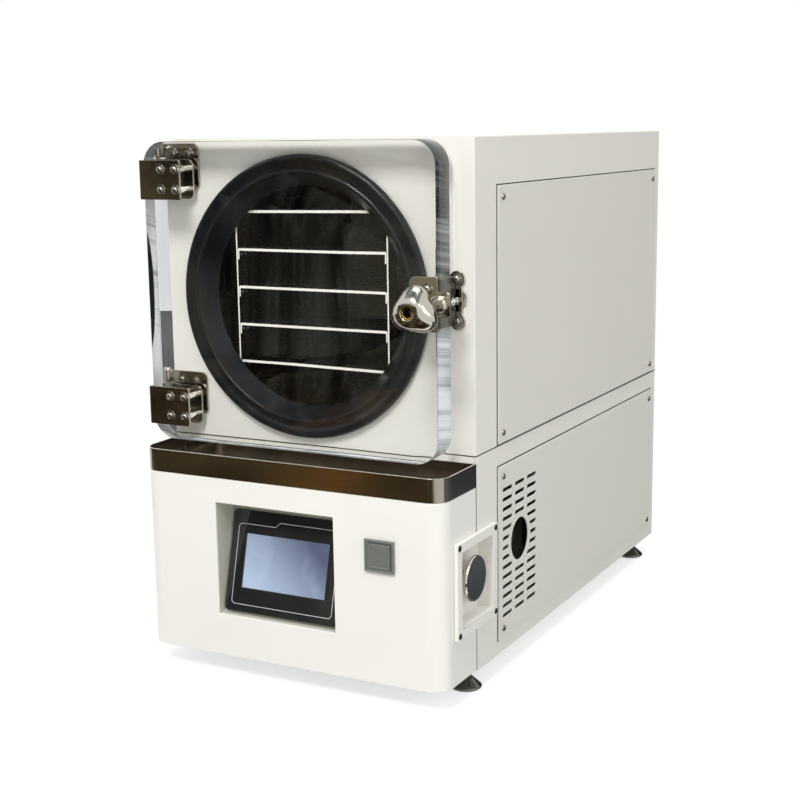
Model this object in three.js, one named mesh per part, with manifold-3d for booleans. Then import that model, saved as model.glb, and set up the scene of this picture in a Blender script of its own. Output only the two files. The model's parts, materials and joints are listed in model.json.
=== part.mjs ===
// Bench-top freeze dryer with a clear square door on a round vacuum chamber.
// Units are millimetres. +X is the operator's right, -Y is the front, +Z is up.
// The working frame has x = 0 on the cabinet's centre plane, y = 0 on the cabinet's
// front face and z = 0 on the floor; the last section moves the whole model so that
// the centre of its footprint is the origin.

import * as THREE from 'three';
import { mergeVertices } from 'three/addons/utils/BufferGeometryUtils.js';
import Module from 'manifold-3d';

const wasm = await Module();
wasm.setup();

// ---------------------------------------------------------------- driving sizes

const seat = 0.3;                  // gap kept between two pieces that touch
const runningGap = 1.0;            // gap kept between pieces that move past each other
const overcut = 2;                 // how far a cutting body runs past the face it cuts

// cabinet
const cabinetWidth = 400;
const cabinetDepth = 635;
const footHeight = 26;             // floor to the underside of the cabinet
const lowerHeight = 253;           // lower housing, underside to seam
const upperHeight = 354;           // upper housing, seam to top
const sheet = 1.5;                 // cabinet sheet steel
const returnFlange = 14;           // inward fold along the housing's open edges
const topEdgeRadius = 3;           // rounded long edges of the upper housing

// removable side panels
const panelFront = 58;             // from the cabinet's front face
const panelRearInset = 20;
const panelThickness = 1.8;
const panelOverlap = 14;           // how far a panel laps over its opening
const upperPanelBottom = 2.5;      // above the seam
const upperPanelTop = 56;          // below the cabinet's top
const lowerPanelBottom = 18;       // above the cabinet's underside
const lowerPanelTop = 25;          // below the seam

// ventilation slots and service hole of the lower panels
const slotLength = 28.4;
const slotHeight = 4.6;
const slotRowPitch = 11.8;
const slotColumnPitch = 36.2;
const slotRows = 14;
const slotColumns = 3;
const slotInset = 11;              // panel's front edge to the first slot
const slotFirstRow = 30;           // panel's top edge to the first row
const serviceHoleRadius = 26;
const louvreMargin = 120;
const louvreFirst = 60;            // first louvre below the panel's top
const louvrePitch = 18;
const louvreHeight = 5;
const serviceHoleMargin = 7;       // land kept between the hole and a slot

// fascia, the projecting lower front cover
const fasciaDepth = 86;
const fasciaSheet = 2;
const fasciaCornerRadius = 22;
const fasciaHeight = 215.7;
const fasciaUndersideLift = 1.8;   // fascia's underside above the cabinet's underside

// drip trough on the fascia
const troughHeight = 27.5;
const troughSheet = 1.2;
const troughFloorDrop = 3;         // floor above the trough's lower edge

// touch screen in its sloped pocket
const windowLeft = -96;
const windowWidth = 159;
const windowBottom = 79;
const windowHeight = 135.5;
const pocketWall = 1.5;
const pocketFootDepth = 12;        // fascia front to the sloped panel at the window's foot
const pocketTilt = 14.3;           // degrees from upright
const bezelWidth = 155;
const bezelHeight = 121;
const bezelThickness = 5;
const bezelCornerRadius = 5;
const displayWidth = 113;
const displayHeight = 64;
const displayRise = 29;            // bezel's lower edge to the display
const displayInset = 0.8;          // display face below the bezel's face

// start button
const buttonX = 123;
const buttonZ = 177.5;
const buttonBezelWidth = 37;
const buttonBezelHeight = 31;
const buttonBezelProud = 4;
const buttonKeyWidth = 28.5;
const buttonKeyHeight = 21.5;
const buttonKeyProud = 4.6;
const buttonTravel = 2.5;
const buttonBodyDepth = 22;

// valve recess on the right side
const valveFlangeFront = -59;
const valveFlangeWidth = 106;
const valveFlangeBottom = 81.5;
const valveFlangeHeight = 111;
const valveFlangeProud = 5;
const valveFrame = 11.5;           // flange's outer edge to the opening
const valveRecessDepth = 20;       // flange face to the recess's back wall
const valveSheet = 1.5;
const valveKnobRadius = 27;
const valveKnobThickness = 6;
const valveKnobSink = 1.5;         // knob face behind the flange's face
const valveHubLength = 6;
const valveStemRadius = 6;
const valveStemSink = 8;           // stem's reach into the valve's body
const valveZ = 140;
const valveY = -7;

// vacuum chamber
const chamberX = -11;
const chamberBelowTop = 183;       // chamber's axis below the cabinet's top
const chamberBore = 141;           // inner radius
const chamberWall = 3;
const chamberDepth = 392;          // front rim to the start of the domed back
const domeDepth = 34;
const domeSteps = 2;
const flangeWidth = 16;
const flangeThickness = 4;
const roundFacets = 64;

// door gasket
const gasketOuter = 162;
const gasketCrest = 139.5;         // radius of the ridge where the lip turns inward
const gasketLip = 126;
const gasketLipDepth = 13;

// shelf rack
const rackWidth = 205;
const rackDepth = 330;
const rackFront = 15;              // behind the cabinet's front face
const rackSheet = 2;
const shelfCount = 5;
const rackClearance = 5.65;        // chamber's wall to the rack's upper corners
const shelfThickness = 3.2;
const shelfLip = 10;
const bottomShelfLift = 15.55;     // lowest shelf's top above the rack's foot
const rackChamfer = 10;
const rackFootWidth = 12;
const rackUprightWidth = 20;
const shelfEdgeRadius = 2.2;

// door
const doorLeft = -210;
const doorWidth = 385;
const doorBottom = 275;
const doorHeight = 354.5;
const doorThickness = 35;
const doorCornerRadius = 28;
const doorStandoff = 10.3;         // door's rear face to the cabinet's front face

// hinges
const hingePinX = -206;
const hingePinY = -5;
const hingePinRadius = 2.6;
const hingePinPlay = 0.06;         // radial play between pin and turning knuckle
const knuckleRadius = 4.4;
const pinFacets = 20;
const clampHeight = 46;
const clampReach = 54;             // front plate, measured from the door's left edge
const clampPlate = 3;
const clampCornerRadius = 8;
const leafWidth = 48;
const leafHeight = 51;
const leafPlate = 2.9;
const leafCornerRadius = 8;
const leafRise = 10.5;             // leaf's lower edge above the clamp's lower edge
const upperHingeZ = 562.3;         // clamp's lower edge
const lowerHingeZ = 292.4;
const clampScrewRadius = 2.6;
const clampScrewColumns = [27, 47.5];   // from the door's left edge
const clampScrewRows = [11.5, 35];      // above the clamp's lower edge
const leafScrewColumns = [12, 34];      // from the leaf's left edge
const leafScrewRise = 40.5;
const doorHoleRadius = 4;

// latch
const latchX = 179.3;
const latchZ = 454;
const latchPlate = 3;
const latchEarReach = 31;          // bracket's left end, left of the door's right edge
const latchHalfHeight = 30;
const latchSlotHalf = 6.5;         // half the slot between the two side legs
const latchTabReach = 14;          // bracket's centre tab, right of the latch axis
const latchEarRadius = 8;
const rodRadius = 3.6;             // through the bracket and the knob
const rodShoulderRadius = 4;     // behind the bracket
const rodPlay = 0.06;
const rodHeadLength = 21;
const rodHeadWidth = 6;
const rodHeadThickness = 6;
const keeperThickness = 3;
const keeperHalfHeight = 33;
const keeperLobeRadius = 9.5;
const keeperWaist = 6.8;
const keeperSlotWidth = 9;
const keeperSlotLength = 24.5;
const headWellRadius = 13.5;       // round hole in the cabinet's front behind the keeper
const knobLobes = 3;
const knobLobeRadius = 22.6;
const knobLobeDepth = 6;
const knobLobeTurn = 86;           // degrees from the right to the first lobe at rest
const knobBodyLength = 66;         // knob's back to the front of its lobes
const knobGripLength = 23;
const knobNeckRadius = 8;
const knobCollarRadius = 10.5;
const knobHubRadius = 15;
const knobHubLength = 8;
const knobBore = 4.3;
const knobBoreDepth = 16;

// levelling feet
const footInsetX = 20;
const footFrontY = 12;
const footRearInset = 43;          // rear feet ahead of the cabinet's rear face
const footPadRadius = 19;
const footPadThickness = 3;
const footConeHeight = 15;
const footStudRadius = 4;
const footNutHeight = 6;
const footNutRadius = 8;
const footStudRise = 10;           // stud's end above the cabinet's floor

// refrigeration and vacuum parts inside the cabinet
const coilTubeRadius = 4.8;
const coilTurns = 5;
const coilFacets = 14;             // straight steps in one turn
const coilStartInset = 10;         // inside the jacket's ends
const coilEndInset = 12;
const jacketThickness = 10;
const jacketFacets = 36;
const jacketStart = 32;
const jacketToPort = 9.5;
const saddleInset = 26;            // saddle's front face ahead of the drum's straight end
const saddleThickness = 20;
const saddleHalfWidth = 84;
const saddleWrap = 34;             // how far the saddle rises beside the drum
const compressorRadius = 66;
const compressorHeight = 176;
const compressorStubHeight = 120;
const compressorX = -70;
const compressorRearInset = 195;   // compressor's axis ahead of the cabinet's rear face
const controlBoxX = 50;
const controlBoxWidth = 120;
const controlBoxDepth = 110;
const controlBoxHeight = 100;
const controlBoxRearInset = 45;    // box's rear ahead of the cabinet's rear face
const condenserFins = 6;
const fanRadius = 62;
const fanBlades = 5;
const fanHubRadius = 15;
const fanBladeChord = 34;
const fanBladeThickness = 2;
const fanDepth = 17;
const shroudDepth = 26;
const portToSaddle = 7.5;          // vacuum pipe's side ahead of the saddle
const drainOffset = 30;            // drain's place right of the chamber's axis
const drainY = 24;
const vacuumPipeRadius = 12.5;
const vacuumFlangeRadius = 20;
const drainPipeRadius = 6;
const pipeWall = 2;
const portLength = 14;             // port's end below the drum
const drainLength = 10;

// ---------------------------------------------------------------- places worked out

const halfWidth = cabinetWidth / 2;
const baseZ = footHeight;
const seamZ = baseZ + lowerHeight;
const topZ = seamZ + upperHeight;
const chamberZ = topZ - chamberBelowTop;
const rearY = cabinetDepth;
const fasciaFrontY = -fasciaDepth;
const fasciaBottomZ = baseZ + fasciaUndersideLift;
const fasciaTopZ = fasciaBottomZ + fasciaHeight;
const vacuumPipeX = chamberX;
const saddleFront = chamberDepth - saddleInset;
const vacuumPipeY = saddleFront - portToSaddle - vacuumPipeRadius;
const drainX = chamberX + drainOffset;
const jacketEnd = vacuumPipeY - vacuumPipeRadius - jacketToPort;
const coilStart = jacketStart + coilStartInset;
const coilEnd = jacketEnd - coilEndInset;

// The rack fills the bore: its foot and its top follow from its width.
const wallHeightAt = (radius, x) => Math.sqrt(radius * radius - x * x);
const rackFootZ = chamberZ - wallHeightAt(chamberBore - 2 * seat, rackWidth / 2) + 0.4;
const rackTopZ = chamberZ + wallHeightAt(chamberBore - rackClearance, rackWidth / 2) + rackChamfer;
const bottomShelfZ = rackFootZ + bottomShelfLift;
const shelfPitch = (rackTopZ - bottomShelfZ) / (shelfCount - 1);

const doorRight = doorLeft + doorWidth;
const doorTop = doorBottom + doorHeight;
const doorRearY = -doorStandoff;
const doorFrontY = doorRearY - doorThickness;

// ---------------------------------------------------------------- finishes

const paint = (color, roughness, metalness, extra = {}) =>
  new THREE.MeshStandardMaterial({ color, roughness, metalness, ...extra });

const finish = {
  cabinet: paint(0xe9e8df, 0.55, 0.0),
  fascia: paint(0xeceadf, 0.45, 0.0),
  stainless: paint(0xb9b5ad, 0.25, 1.0),
  polished: paint(0xc8c2b6, 0.12, 1.0),
  chrome: paint(0xd8d4cc, 0.08, 1.0),
  rubber: paint(0x1c1f24, 0.55, 0.0),
  acrylic: paint(0xe8f2f0, 0.05, 0.0, { transparent: true, opacity: 0.35 }),
  blackPlastic: paint(0x111214, 0.35, 0.0),
  display: paint(0x8fa3b5, 0.2, 0.0),
  silverPlastic: paint(0xb4b4b0, 0.35, 0.4),
  galvanised: paint(0x9ea1a3, 0.5, 0.8),
  copper: paint(0xb06a3c, 0.35, 1.0),
  foam: paint(0x3a3c3e, 0.9, 0.0),
  darkSteel: paint(0x26282b, 0.45, 0.3),
};

// ---------------------------------------------------------------- solid tools

function signedVolume(points, triangles) {
  const [a, b, c] = [new THREE.Vector3(), new THREE.Vector3(), new THREE.Vector3()];
  let sum = 0;
  for (let i = 0; i < triangles.length; i += 3) {
    a.fromArray(points, triangles[i] * 3);
    b.fromArray(points, triangles[i + 1] * 3);
    c.fromArray(points, triangles[i + 2] * 3);
    sum += a.dot(b.cross(c));
  }
  return sum / 6;
}

// A closed geometry becomes a solid: shared corners are merged, slivers at a pole
// are dropped and the faces are turned outwards.
function toSolid(geometry) {
  const bare = geometry.clone();
  bare.deleteAttribute('normal');
  bare.deleteAttribute('uv');
  const merged = mergeVertices(bare, 1e-4);
  const points = merged.attributes.position.array;
  const corners = merged.index.array;
  const triangles = [];
  for (let i = 0; i < corners.length; i += 3) {
    const [a, b, c] = [corners[i], corners[i + 1], corners[i + 2]];
    if (a !== b && b !== c && c !== a) triangles.push(a, b, c);
  }
  if (signedVolume(points, triangles) < 0) triangles.reverse();
  return new wasm.Manifold(new wasm.Mesh({
    numProp: 3,
    vertProperties: new Float32Array(points),
    triVerts: new Uint32Array(triangles),
  }));
}

function toGeometry(solid) {
  const mesh = solid.getMesh();
  const geometry = new THREE.BufferGeometry();
  geometry.setAttribute('position', new THREE.BufferAttribute(mesh.vertProperties, 3));
  geometry.setIndex(new THREE.BufferAttribute(mesh.triVerts, 1));
  geometry.computeVertexNormals();
  return geometry;
}

function piece(name, solid, material, place = [0, 0, 0]) {
  const mesh = new THREE.Mesh(toGeometry(solid), material);
  mesh.name = name;
  mesh.position.set(...place);
  return mesh;
}

function group(place, ...children) {
  const holder = new THREE.Group();
  holder.position.set(...place);
  holder.add(...children);
  return holder;
}

const joinAll = (solids) => solids.reduce((sum, solid) => sum.add(solid));
const cutAll = (body, tools) => tools.reduce((rest, tool) => rest.subtract(tool), body);

function block(x0, x1, y0, y1, z0, z1) {
  const geometry = new THREE.BoxGeometry(x1 - x0, y1 - y0, z1 - z0);
  return toSolid(geometry.translate((x0 + x1) / 2, (y0 + y1) / 2, (z0 + z1) / 2));
}

// Where a flat shape's own x, its own y and the extrusion run, for each axis.
const layout = {
  x: [[0, 1, 0], [0, 0, 1], [1, 0, 0]],
  y: [[1, 0, 0], [0, 0, 1], [0, 1, 0]],
  z: [[1, 0, 0], [0, 1, 0], [0, 0, 1]],
};

function extrude(axis, shape, from, to, curveSegments = 6, bevel = 0) {
  const geometry = new THREE.ExtrudeGeometry(shape, {
    depth: to - from - 2 * bevel,
    bevelEnabled: bevel > 0,
    bevelThickness: bevel,
    bevelSize: bevel,
    bevelOffset: -bevel,
    bevelSegments: 2,
    curveSegments,
  });
  const basis = layout[axis].map((v) => new THREE.Vector3(...v));
  geometry.translate(0, 0, from + bevel);
  return toSolid(geometry.applyMatrix4(new THREE.Matrix4().makeBasis(...basis)));
}

function roundedRect(x0, x1, y0, y1, radii) {
  const [a, b, c, d] = Array.isArray(radii) ? radii : [radii, radii, radii, radii];
  const shape = new THREE.Shape();
  const corner = (x, y, r, start) => {
    if (r > 0) shape.absarc(x, y, r, start, start + Math.PI / 2, false);
    else shape.lineTo(x, y);
  };
  shape.moveTo(x0 + a, y0);
  corner(x1 - b, y0 + b, b, -Math.PI / 2);
  corner(x1 - c, y1 - c, c, 0);
  corner(x0 + d, y1 - d, d, Math.PI / 2);
  corner(x0 + a, y0 + a, a, Math.PI);
  return shape;
}

// A round bar along an axis; u and v are its place on the two other axes.
function bar(axis, u, v, radius, from, to, facets = 24, endRadius = radius) {
  const length = to - from;
  const geometry = new THREE.CylinderGeometry(endRadius, radius, length, facets);
  const middle = (from + to) / 2;
  if (axis === 'x') geometry.rotateZ(-Math.PI / 2).translate(middle, u, v);
  if (axis === 'y') geometry.translate(u, middle, v);
  if (axis === 'z') geometry.rotateX(Math.PI / 2).translate(u, v, middle);
  return toSolid(geometry);
}

// A closed outline of [radius, along] points turned about an axis through the origin.
function revolve(axis, outline, facets = 32) {
  const points = outline.map(([radius, along]) => new THREE.Vector2(radius, along));
  const first = outline[0];
  const last = outline[outline.length - 1];
  if (first[0] > 0 || last[0] > 0) points.push(points[0].clone());
  const geometry = new THREE.LatheGeometry(points, facets);
  if (axis === 'z') geometry.rotateX(Math.PI / 2);
  if (axis === 'x') geometry.rotateZ(-Math.PI / 2);
  return toSolid(geometry);
}

function arc(u, v, radius, start, end, steps) {
  const points = [];
  for (let i = 0; i <= steps; i += 1) {
    const angle = THREE.MathUtils.degToRad(start + ((end - start) * i) / steps);
    points.push([u + radius * Math.cos(angle), v + radius * Math.sin(angle)]);
  }
  return points;
}

function pipe(points, radius, sides, steps) {
  const path = new THREE.CatmullRomCurve3(points.map((p) => new THREE.Vector3(...p)), false, 'catmullrom', 0.2);
  const section = new THREE.Shape();
  section.absarc(0, 0, radius, 0, Math.PI * 2, false);
  return toSolid(new THREE.ExtrudeGeometry(section, {
    steps, extrudePath: path, bevelEnabled: false, curveSegments: sides / 2,
  }));
}

// ---------------------------------------------------------------- cabinet

const panelRearY = rearY - panelRearInset;
const deckZ = seamZ;
const deckTop = deckZ + sheet;
const upperPanelSpan = [seamZ + upperPanelBottom, topZ - upperPanelTop];
const lowerPanelSpan = [baseZ + lowerPanelBottom, seamZ - lowerPanelTop];

// The opening in both side walls that a pair of side panels covers.
function panelOpening([bottom, top]) {
  return block(-halfWidth - overcut, halfWidth + overcut,
    panelFront + panelOverlap, panelRearY - panelOverlap,
    bottom + panelOverlap, top - panelOverlap);
}

// The hole that the valve recess passes through, in the fascia and the lower housing.
function valveCutout() {
  const margin = valveFrame - valveSheet - runningGap;
  return block(halfWidth - valveRecessDepth, halfWidth + overcut,
    valveFlangeFront + margin, valveFlangeFront + valveFlangeWidth - margin,
    valveFlangeBottom + margin, valveFlangeBottom + valveFlangeHeight - margin);
}

function footPlaces() {
  const x = halfWidth - footInsetX;
  return {
    foot_front_left: [-x, footFrontY],
    foot_front_right: [x, footFrontY],
    foot_rear_left: [-x, rearY - footRearInset],
    foot_rear_right: [x, rearY - footRearInset],
  };
}

// Floor, two side walls and their inward top flanges, folded from one sheet.
function lowerHousing() {
  const top = seamZ - seat;
  const outer = block(-halfWidth, halfWidth, seat, rearY, baseZ, top);
  const inner = block(-halfWidth + sheet, halfWidth - sheet, -overcut, rearY + overcut,
    baseZ + sheet, top - sheet);
  const mouth = block(-halfWidth + returnFlange, halfWidth - returnFlange, -overcut,
    rearY + overcut, top - sheet - overcut, top + overcut);
  const studHoles = Object.values(footPlaces()).map(([x, y]) =>
    bar('z', x, y, footStudRadius + seat, baseZ - overcut, baseZ + sheet + overcut, 16));
  return cutAll(outer, [inner, mouth, panelOpening(lowerPanelSpan), valveCutout(), ...studHoles]);
}

// The plate between the two housings, which carries the chamber.
function deckPlate() {
  const x = halfWidth - sheet - seat;
  const tools = [
    bar('z', vacuumPipeX, vacuumPipeY, vacuumPipeRadius + 4, deckZ - overcut, deckTop + overcut, 20),
    bar('z', drainX, drainY, drainPipeRadius + 4, deckZ - overcut, deckTop + overcut, 16),
  ];
  return cutAll(block(-x, x, sheet + seat, rearY - sheet - seat, deckZ, deckTop), tools);
}

// Front, top and both sides, welded from folded sheet and open at the back and below.
function upperHousing() {
  const profile = roundedRect(-halfWidth, halfWidth, seamZ + seat, topZ, [0, 0, topEdgeRadius, topEdgeRadius]);
  const outer = extrude('y', profile, 0, rearY, 4);
  const inner = block(-halfWidth + sheet, halfWidth - sheet, sheet, rearY + overcut,
    seamZ - overcut, topZ - sheet);
  const mouth = bar('y', chamberX, chamberZ, chamberBore + chamberWall + seat, -overcut, sheet + overcut, roundFacets);
  const well = bar('y', latchX, latchZ, headWellRadius, -overcut, sheet + overcut, 24);
  return cutAll(outer, [inner, mouth, well, panelOpening(upperPanelSpan)]);
}

function sidePanel([bottom, top], side, cuts = []) {
  const inner = side * (halfWidth + seat);
  const outer = side * (halfWidth + seat + panelThickness);
  const body = block(Math.min(inner, outer), Math.max(inner, outer), panelFront, panelRearY, bottom, top);
  return cutAll(body, cuts);
}

const serviceHoleY = panelFront + slotInset + slotLength / 2 + slotColumnPitch;
const serviceHoleZ = lowerPanelSpan[1] - slotFirstRow - slotRowPitch * 5.95;

// A slot with eased ends, from its left end at y about the height z.
function slotShape(y, z) {
  const h = slotHeight / 2;
  const ease = slotHeight * 0.3;
  const shape = new THREE.Shape();
  shape.moveTo(y, z - h + ease);
  shape.lineTo(y + ease, z - h);
  shape.lineTo(y + slotLength - ease, z - h);
  shape.lineTo(y + slotLength, z - h + ease);
  shape.lineTo(y + slotLength, z + h - ease);
  shape.lineTo(y + slotLength - ease, z + h);
  shape.lineTo(y + ease, z + h);
  shape.lineTo(y, z + h - ease);
  shape.closePath();
  return shape;
}

function slotCuts(side) {
  const x0 = side > 0 ? halfWidth - overcut : -halfWidth - panelThickness - 2 * overcut;
  const x1 = x0 + panelThickness + 3 * overcut;
  const land = bar('x', serviceHoleY, serviceHoleZ, serviceHoleRadius + serviceHoleMargin, x0 - 1, x1 + 1, 24);
  const slots = [];
  for (let column = 0; column < slotColumns; column += 1) {
    for (let row = 0; row < slotRows; row += 1) {
      const y = panelFront + slotInset + column * slotColumnPitch;
      const z = lowerPanelSpan[1] - slotFirstRow - row * slotRowPitch;
      slots.push(extrude('x', slotShape(y, z), x0, x1));
    }
  }
  const field = joinAll(slots);
  return side > 0 ? field.subtract(land) : field;
}

function serviceHole() {
  return bar('x', serviceHoleY, serviceHoleZ, serviceHoleRadius, halfWidth - overcut,
    halfWidth + panelThickness + overcut, 32);
}

function rearPanel(bottom, top, louvreRows) {
  const front = rearY - sheet;
  const width = halfWidth - sheet - seat;
  const plate = block(-width, width, front, rearY, bottom, top);
  const louvres = [];
  for (let row = 0; row < louvreRows; row += 1) {
    const z = top - louvreFirst - row * louvrePitch;
    louvres.push(block(-width + louvreMargin, width - louvreMargin, front - overcut, rearY + overcut,
      z, z + louvreHeight));
  }
  return cutAll(plate, louvres);
}

function cabinet() {
  const rearLower = cutAll(rearPanel(baseZ + sheet + seat, seamZ - sheet - 2 * seat, 5),
    [inletCutout()]);
  return group([0, 0, 0],
    piece('lower_housing', lowerHousing(), finish.cabinet),
    piece('deck_plate', deckPlate(), finish.galvanised),
    piece('upper_housing', upperHousing(), finish.cabinet),
    piece('rear_panel_upper', rearPanel(seamZ + seat, topZ - sheet - seat, 0), finish.cabinet),
    piece('rear_panel_lower', rearLower, finish.cabinet),
    piece('side_panel_upper_right', sidePanel(upperPanelSpan, 1), finish.cabinet),
    piece('side_panel_upper_left', sidePanel(upperPanelSpan, -1), finish.cabinet),
    piece('side_panel_lower_right', sidePanel(lowerPanelSpan, 1, [slotCuts(1), serviceHole()]), finish.cabinet),
    piece('side_panel_lower_left', sidePanel(lowerPanelSpan, -1, [slotCuts(-1)]), finish.cabinet));
}

// ---------------------------------------------------------------- fascia and trough

function fascia() {
  const r = fasciaCornerRadius;
  const outline = roundedRect(-halfWidth, halfWidth, fasciaFrontY, -seat, [r, r, 0, 0]);
  const t = fasciaSheet;
  const inline = roundedRect(-halfWidth + t, halfWidth - t, fasciaFrontY + t, overcut, [r - t, r - t, 0, 0]);
  const shell = extrude('z', outline, fasciaBottomZ, fasciaTopZ, 5)
    .subtract(extrude('z', inline, fasciaBottomZ + t, fasciaTopZ - t, 5));
  const screen = block(windowLeft, windowLeft + windowWidth, fasciaFrontY - overcut,
    fasciaFrontY + t + overcut, windowBottom, windowBottom + windowHeight);
  const w = buttonBezelWidth / 2 - 2;
  const h = buttonBezelHeight / 2 - 2;
  const button = block(buttonX - w, buttonX + w, fasciaFrontY - overcut, fasciaFrontY + t + overcut,
    buttonZ - h, buttonZ + h);
  return cutAll(shell, [screen, button, valveCutout()]);
}

function dripTrough() {
  const r = fasciaCornerRadius;
  const t = troughSheet;
  const bottom = fasciaTopZ + seat;
  const top = fasciaTopZ + troughHeight;
  const outline = roundedRect(-halfWidth, halfWidth, fasciaFrontY, -seat, [r, r, 0, 0]);
  const inline = roundedRect(-halfWidth + t, halfWidth - t, fasciaFrontY + t, -seat - t, [r - t, r - t, 0, 0]);
  const body = extrude('z', outline, bottom, top, 5);
  return cutAll(body, [
    extrude('z', inline, bottom + troughFloorDrop, top + overcut, 5),
    extrude('z', inline, bottom - overcut, bottom + troughFloorDrop - t, 5),
  ]);
}

// ---------------------------------------------------------------- touch screen

const pocketAngle = THREE.MathUtils.degToRad(pocketTilt);
const pocketFootY = fasciaFrontY + pocketFootDepth;

// A closed shell behind the window: floor, ceiling, cheeks and the sloped back panel.
function screenPocket() {
  const t = pocketWall;
  const front = fasciaFrontY + fasciaSheet + seat;
  const rise = windowHeight * Math.tan(pocketAngle);
  const bottom = windowBottom;
  const top = windowBottom + windowHeight;
  const outside = new THREE.Shape();
  outside.moveTo(front, bottom - t);
  outside.lineTo(pocketFootY + t, bottom - t);
  outside.lineTo(pocketFootY + rise + t, top + t);
  outside.lineTo(front, top + t);
  outside.closePath();
  const inside = new THREE.Shape();
  inside.moveTo(front - overcut, bottom);
  inside.lineTo(pocketFootY, bottom);
  inside.lineTo(pocketFootY + rise, top);
  inside.lineTo(front - overcut, top);
  inside.closePath();
  const body = extrude('x', outside, windowLeft - t, windowLeft + windowWidth + t);
  return body.subtract(extrude('x', inside, windowLeft, windowLeft + windowWidth));
}

// The bezel and display are drawn flat and stood up on the sloped panel.
function screenPlace(mesh) {
  const lift = 3;
  const normalGap = (seat + bezelThickness) / Math.cos(pocketAngle);
  mesh.rotation.x = -pocketAngle;
  mesh.position.set(windowLeft + windowWidth / 2, pocketFootY - normalGap + lift * Math.tan(pocketAngle),
    windowBottom + lift);
  return mesh;
}

function screenBezel() {
  const w = bezelWidth / 2;
  const body = extrude('y', roundedRect(-w, w, 0, bezelHeight, bezelCornerRadius), 0, bezelThickness, 3);
  const d = displayWidth / 2 + seat;
  return body.subtract(block(-d, d, -overcut, displayInset + 2.2 + seat,
    displayRise - seat, displayRise + displayHeight + seat));
}

function screenDisplay() {
  const d = displayWidth / 2;
  return block(-d, d, displayInset, displayInset + 2.2, displayRise, displayRise + displayHeight);
}

function touchScreen() {
  return group([0, 0, 0],
    piece('screen_pocket', screenPocket(), finish.fascia),
    screenPlace(piece('screen_bezel', screenBezel(), finish.blackPlastic)),
    screenPlace(piece('screen_display', screenDisplay(), finish.display)));
}

// ---------------------------------------------------------------- start button

function buttonBezel() {
  const w = buttonBezelWidth / 2;
  const h = buttonBezelHeight / 2;
  const kw = buttonKeyWidth / 2 + seat;
  const kh = buttonKeyHeight / 2 + seat;
  const rim = extrude('y', roundedRect(-w, w, -h, h, 2), -buttonBezelProud, -seat, 2, 1.2);
  const neck = block(-w + 2 + seat, w - 2 - seat, -1, buttonBodyDepth, -h + 2 + seat, h - 2 - seat);
  const well = block(-kw, kw, -buttonBezelProud - overcut, buttonBodyDepth - 4, -kh, kh);
  return rim.add(neck).subtract(well);
}

function buttonKey() {
  const w = buttonKeyWidth / 2;
  const h = buttonKeyHeight / 2;
  const back = buttonBodyDepth - 4 - buttonTravel - seat;
  return extrude('y', roundedRect(-w, w, -h, h, 1.5), -buttonKeyProud, back, 2, 0.8);
}

function startButton() {
  return group([buttonX, fasciaFrontY, buttonZ],
    piece('button_bezel', buttonBezel(), finish.silverPlastic),
    piece('button_key', buttonKey(), finish.silverPlastic));
}

// ---------------------------------------------------------------- vent valve

function valveBox() {
  const x1 = halfWidth + valveFlangeProud;
  const x0 = x1 - valveRecessDepth;
  const t = valveSheet;
  const [y0, y1] = [valveFlangeFront, valveFlangeFront + valveFlangeWidth];
  const [z0, z1] = [valveFlangeBottom, valveFlangeBottom + valveFlangeHeight];
  const f = valveFrame;
  const flange = block(halfWidth + seat, x1, y0, y1, z0, z1);
  const tub = block(x0 - t, halfWidth + 1, y0 + f - t, y1 - f + t, z0 + f - t, z1 - f + t);
  const well = block(x0, x1 + overcut, y0 + f, y1 - f, z0 + f, z1 - f);
  const stemHole = bar('x', valveY, valveZ, valveStemRadius + 1.5, x0 - t - overcut, x0 + overcut, 16);
  return cutAll(flange.add(tub), [well, stemHole]);
}

const valveFaceX = halfWidth + valveFlangeProud - valveKnobSink;
const valveBodyX = halfWidth + valveFlangeProud - valveRecessDepth - valveSheet - seat;

// A thick turned disc with a finger notch, on its own stem.
function valveKnob() {
  const r = valveKnobRadius;
  const t = valveKnobThickness;
  const h = valveHubLength;
  const outline = [[0, -t - h], [9, -t - h], [10, -t], [r - 1.5, -t], [r, -t + 1.5],
    [r, -1.5], [r - 1.5, 0], [r - 4, -0.6], [0, -0.6]];
  const disc = revolve('x', outline, 32);
  const notch = bar('x', 0, r + 0.6, 2.2, -t - overcut, overcut, 8);
  const stem = bar('x', 0, 0, valveStemRadius, valveBodyX - valveFaceX - valveStemSink, -t - h + 1, 16);
  return disc.subtract(notch).add(stem);
}

function valveBody() {
  const body = bar('x', 0, 0, 13, -34, 0, 8);
  const outlet = bar('z', -22, 0, 7, -30, 0, 12);
  const bore = bar('x', 0, 0, (valveStemRadius + seat) / Math.cos(Math.PI / 16), -12, overcut, 16);
  return body.add(outlet).subtract(bore);
}

function ventValve() {
  return group([0, 0, 0],
    piece('valve_box', valveBox(), finish.fascia),
    piece('valve_body', valveBody(), finish.galvanised, [valveBodyX, valveY, valveZ]),
    piece('valve_knob', valveKnob(), finish.chrome, [valveFaceX, valveY, valveZ]));
}

// ---------------------------------------------------------------- chamber, gasket, rack

// All of this group is drawn about the chamber's axis. The dome is part of an ellipse.
function domeArc(radius, depth, from, to) {
  return arc(0, 0, 1, from, to, domeSteps).map(([u, v]) =>
    [Math.abs(u) < 1e-6 ? 0 : radius * u, chamberDepth + depth * v]);
}

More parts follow.
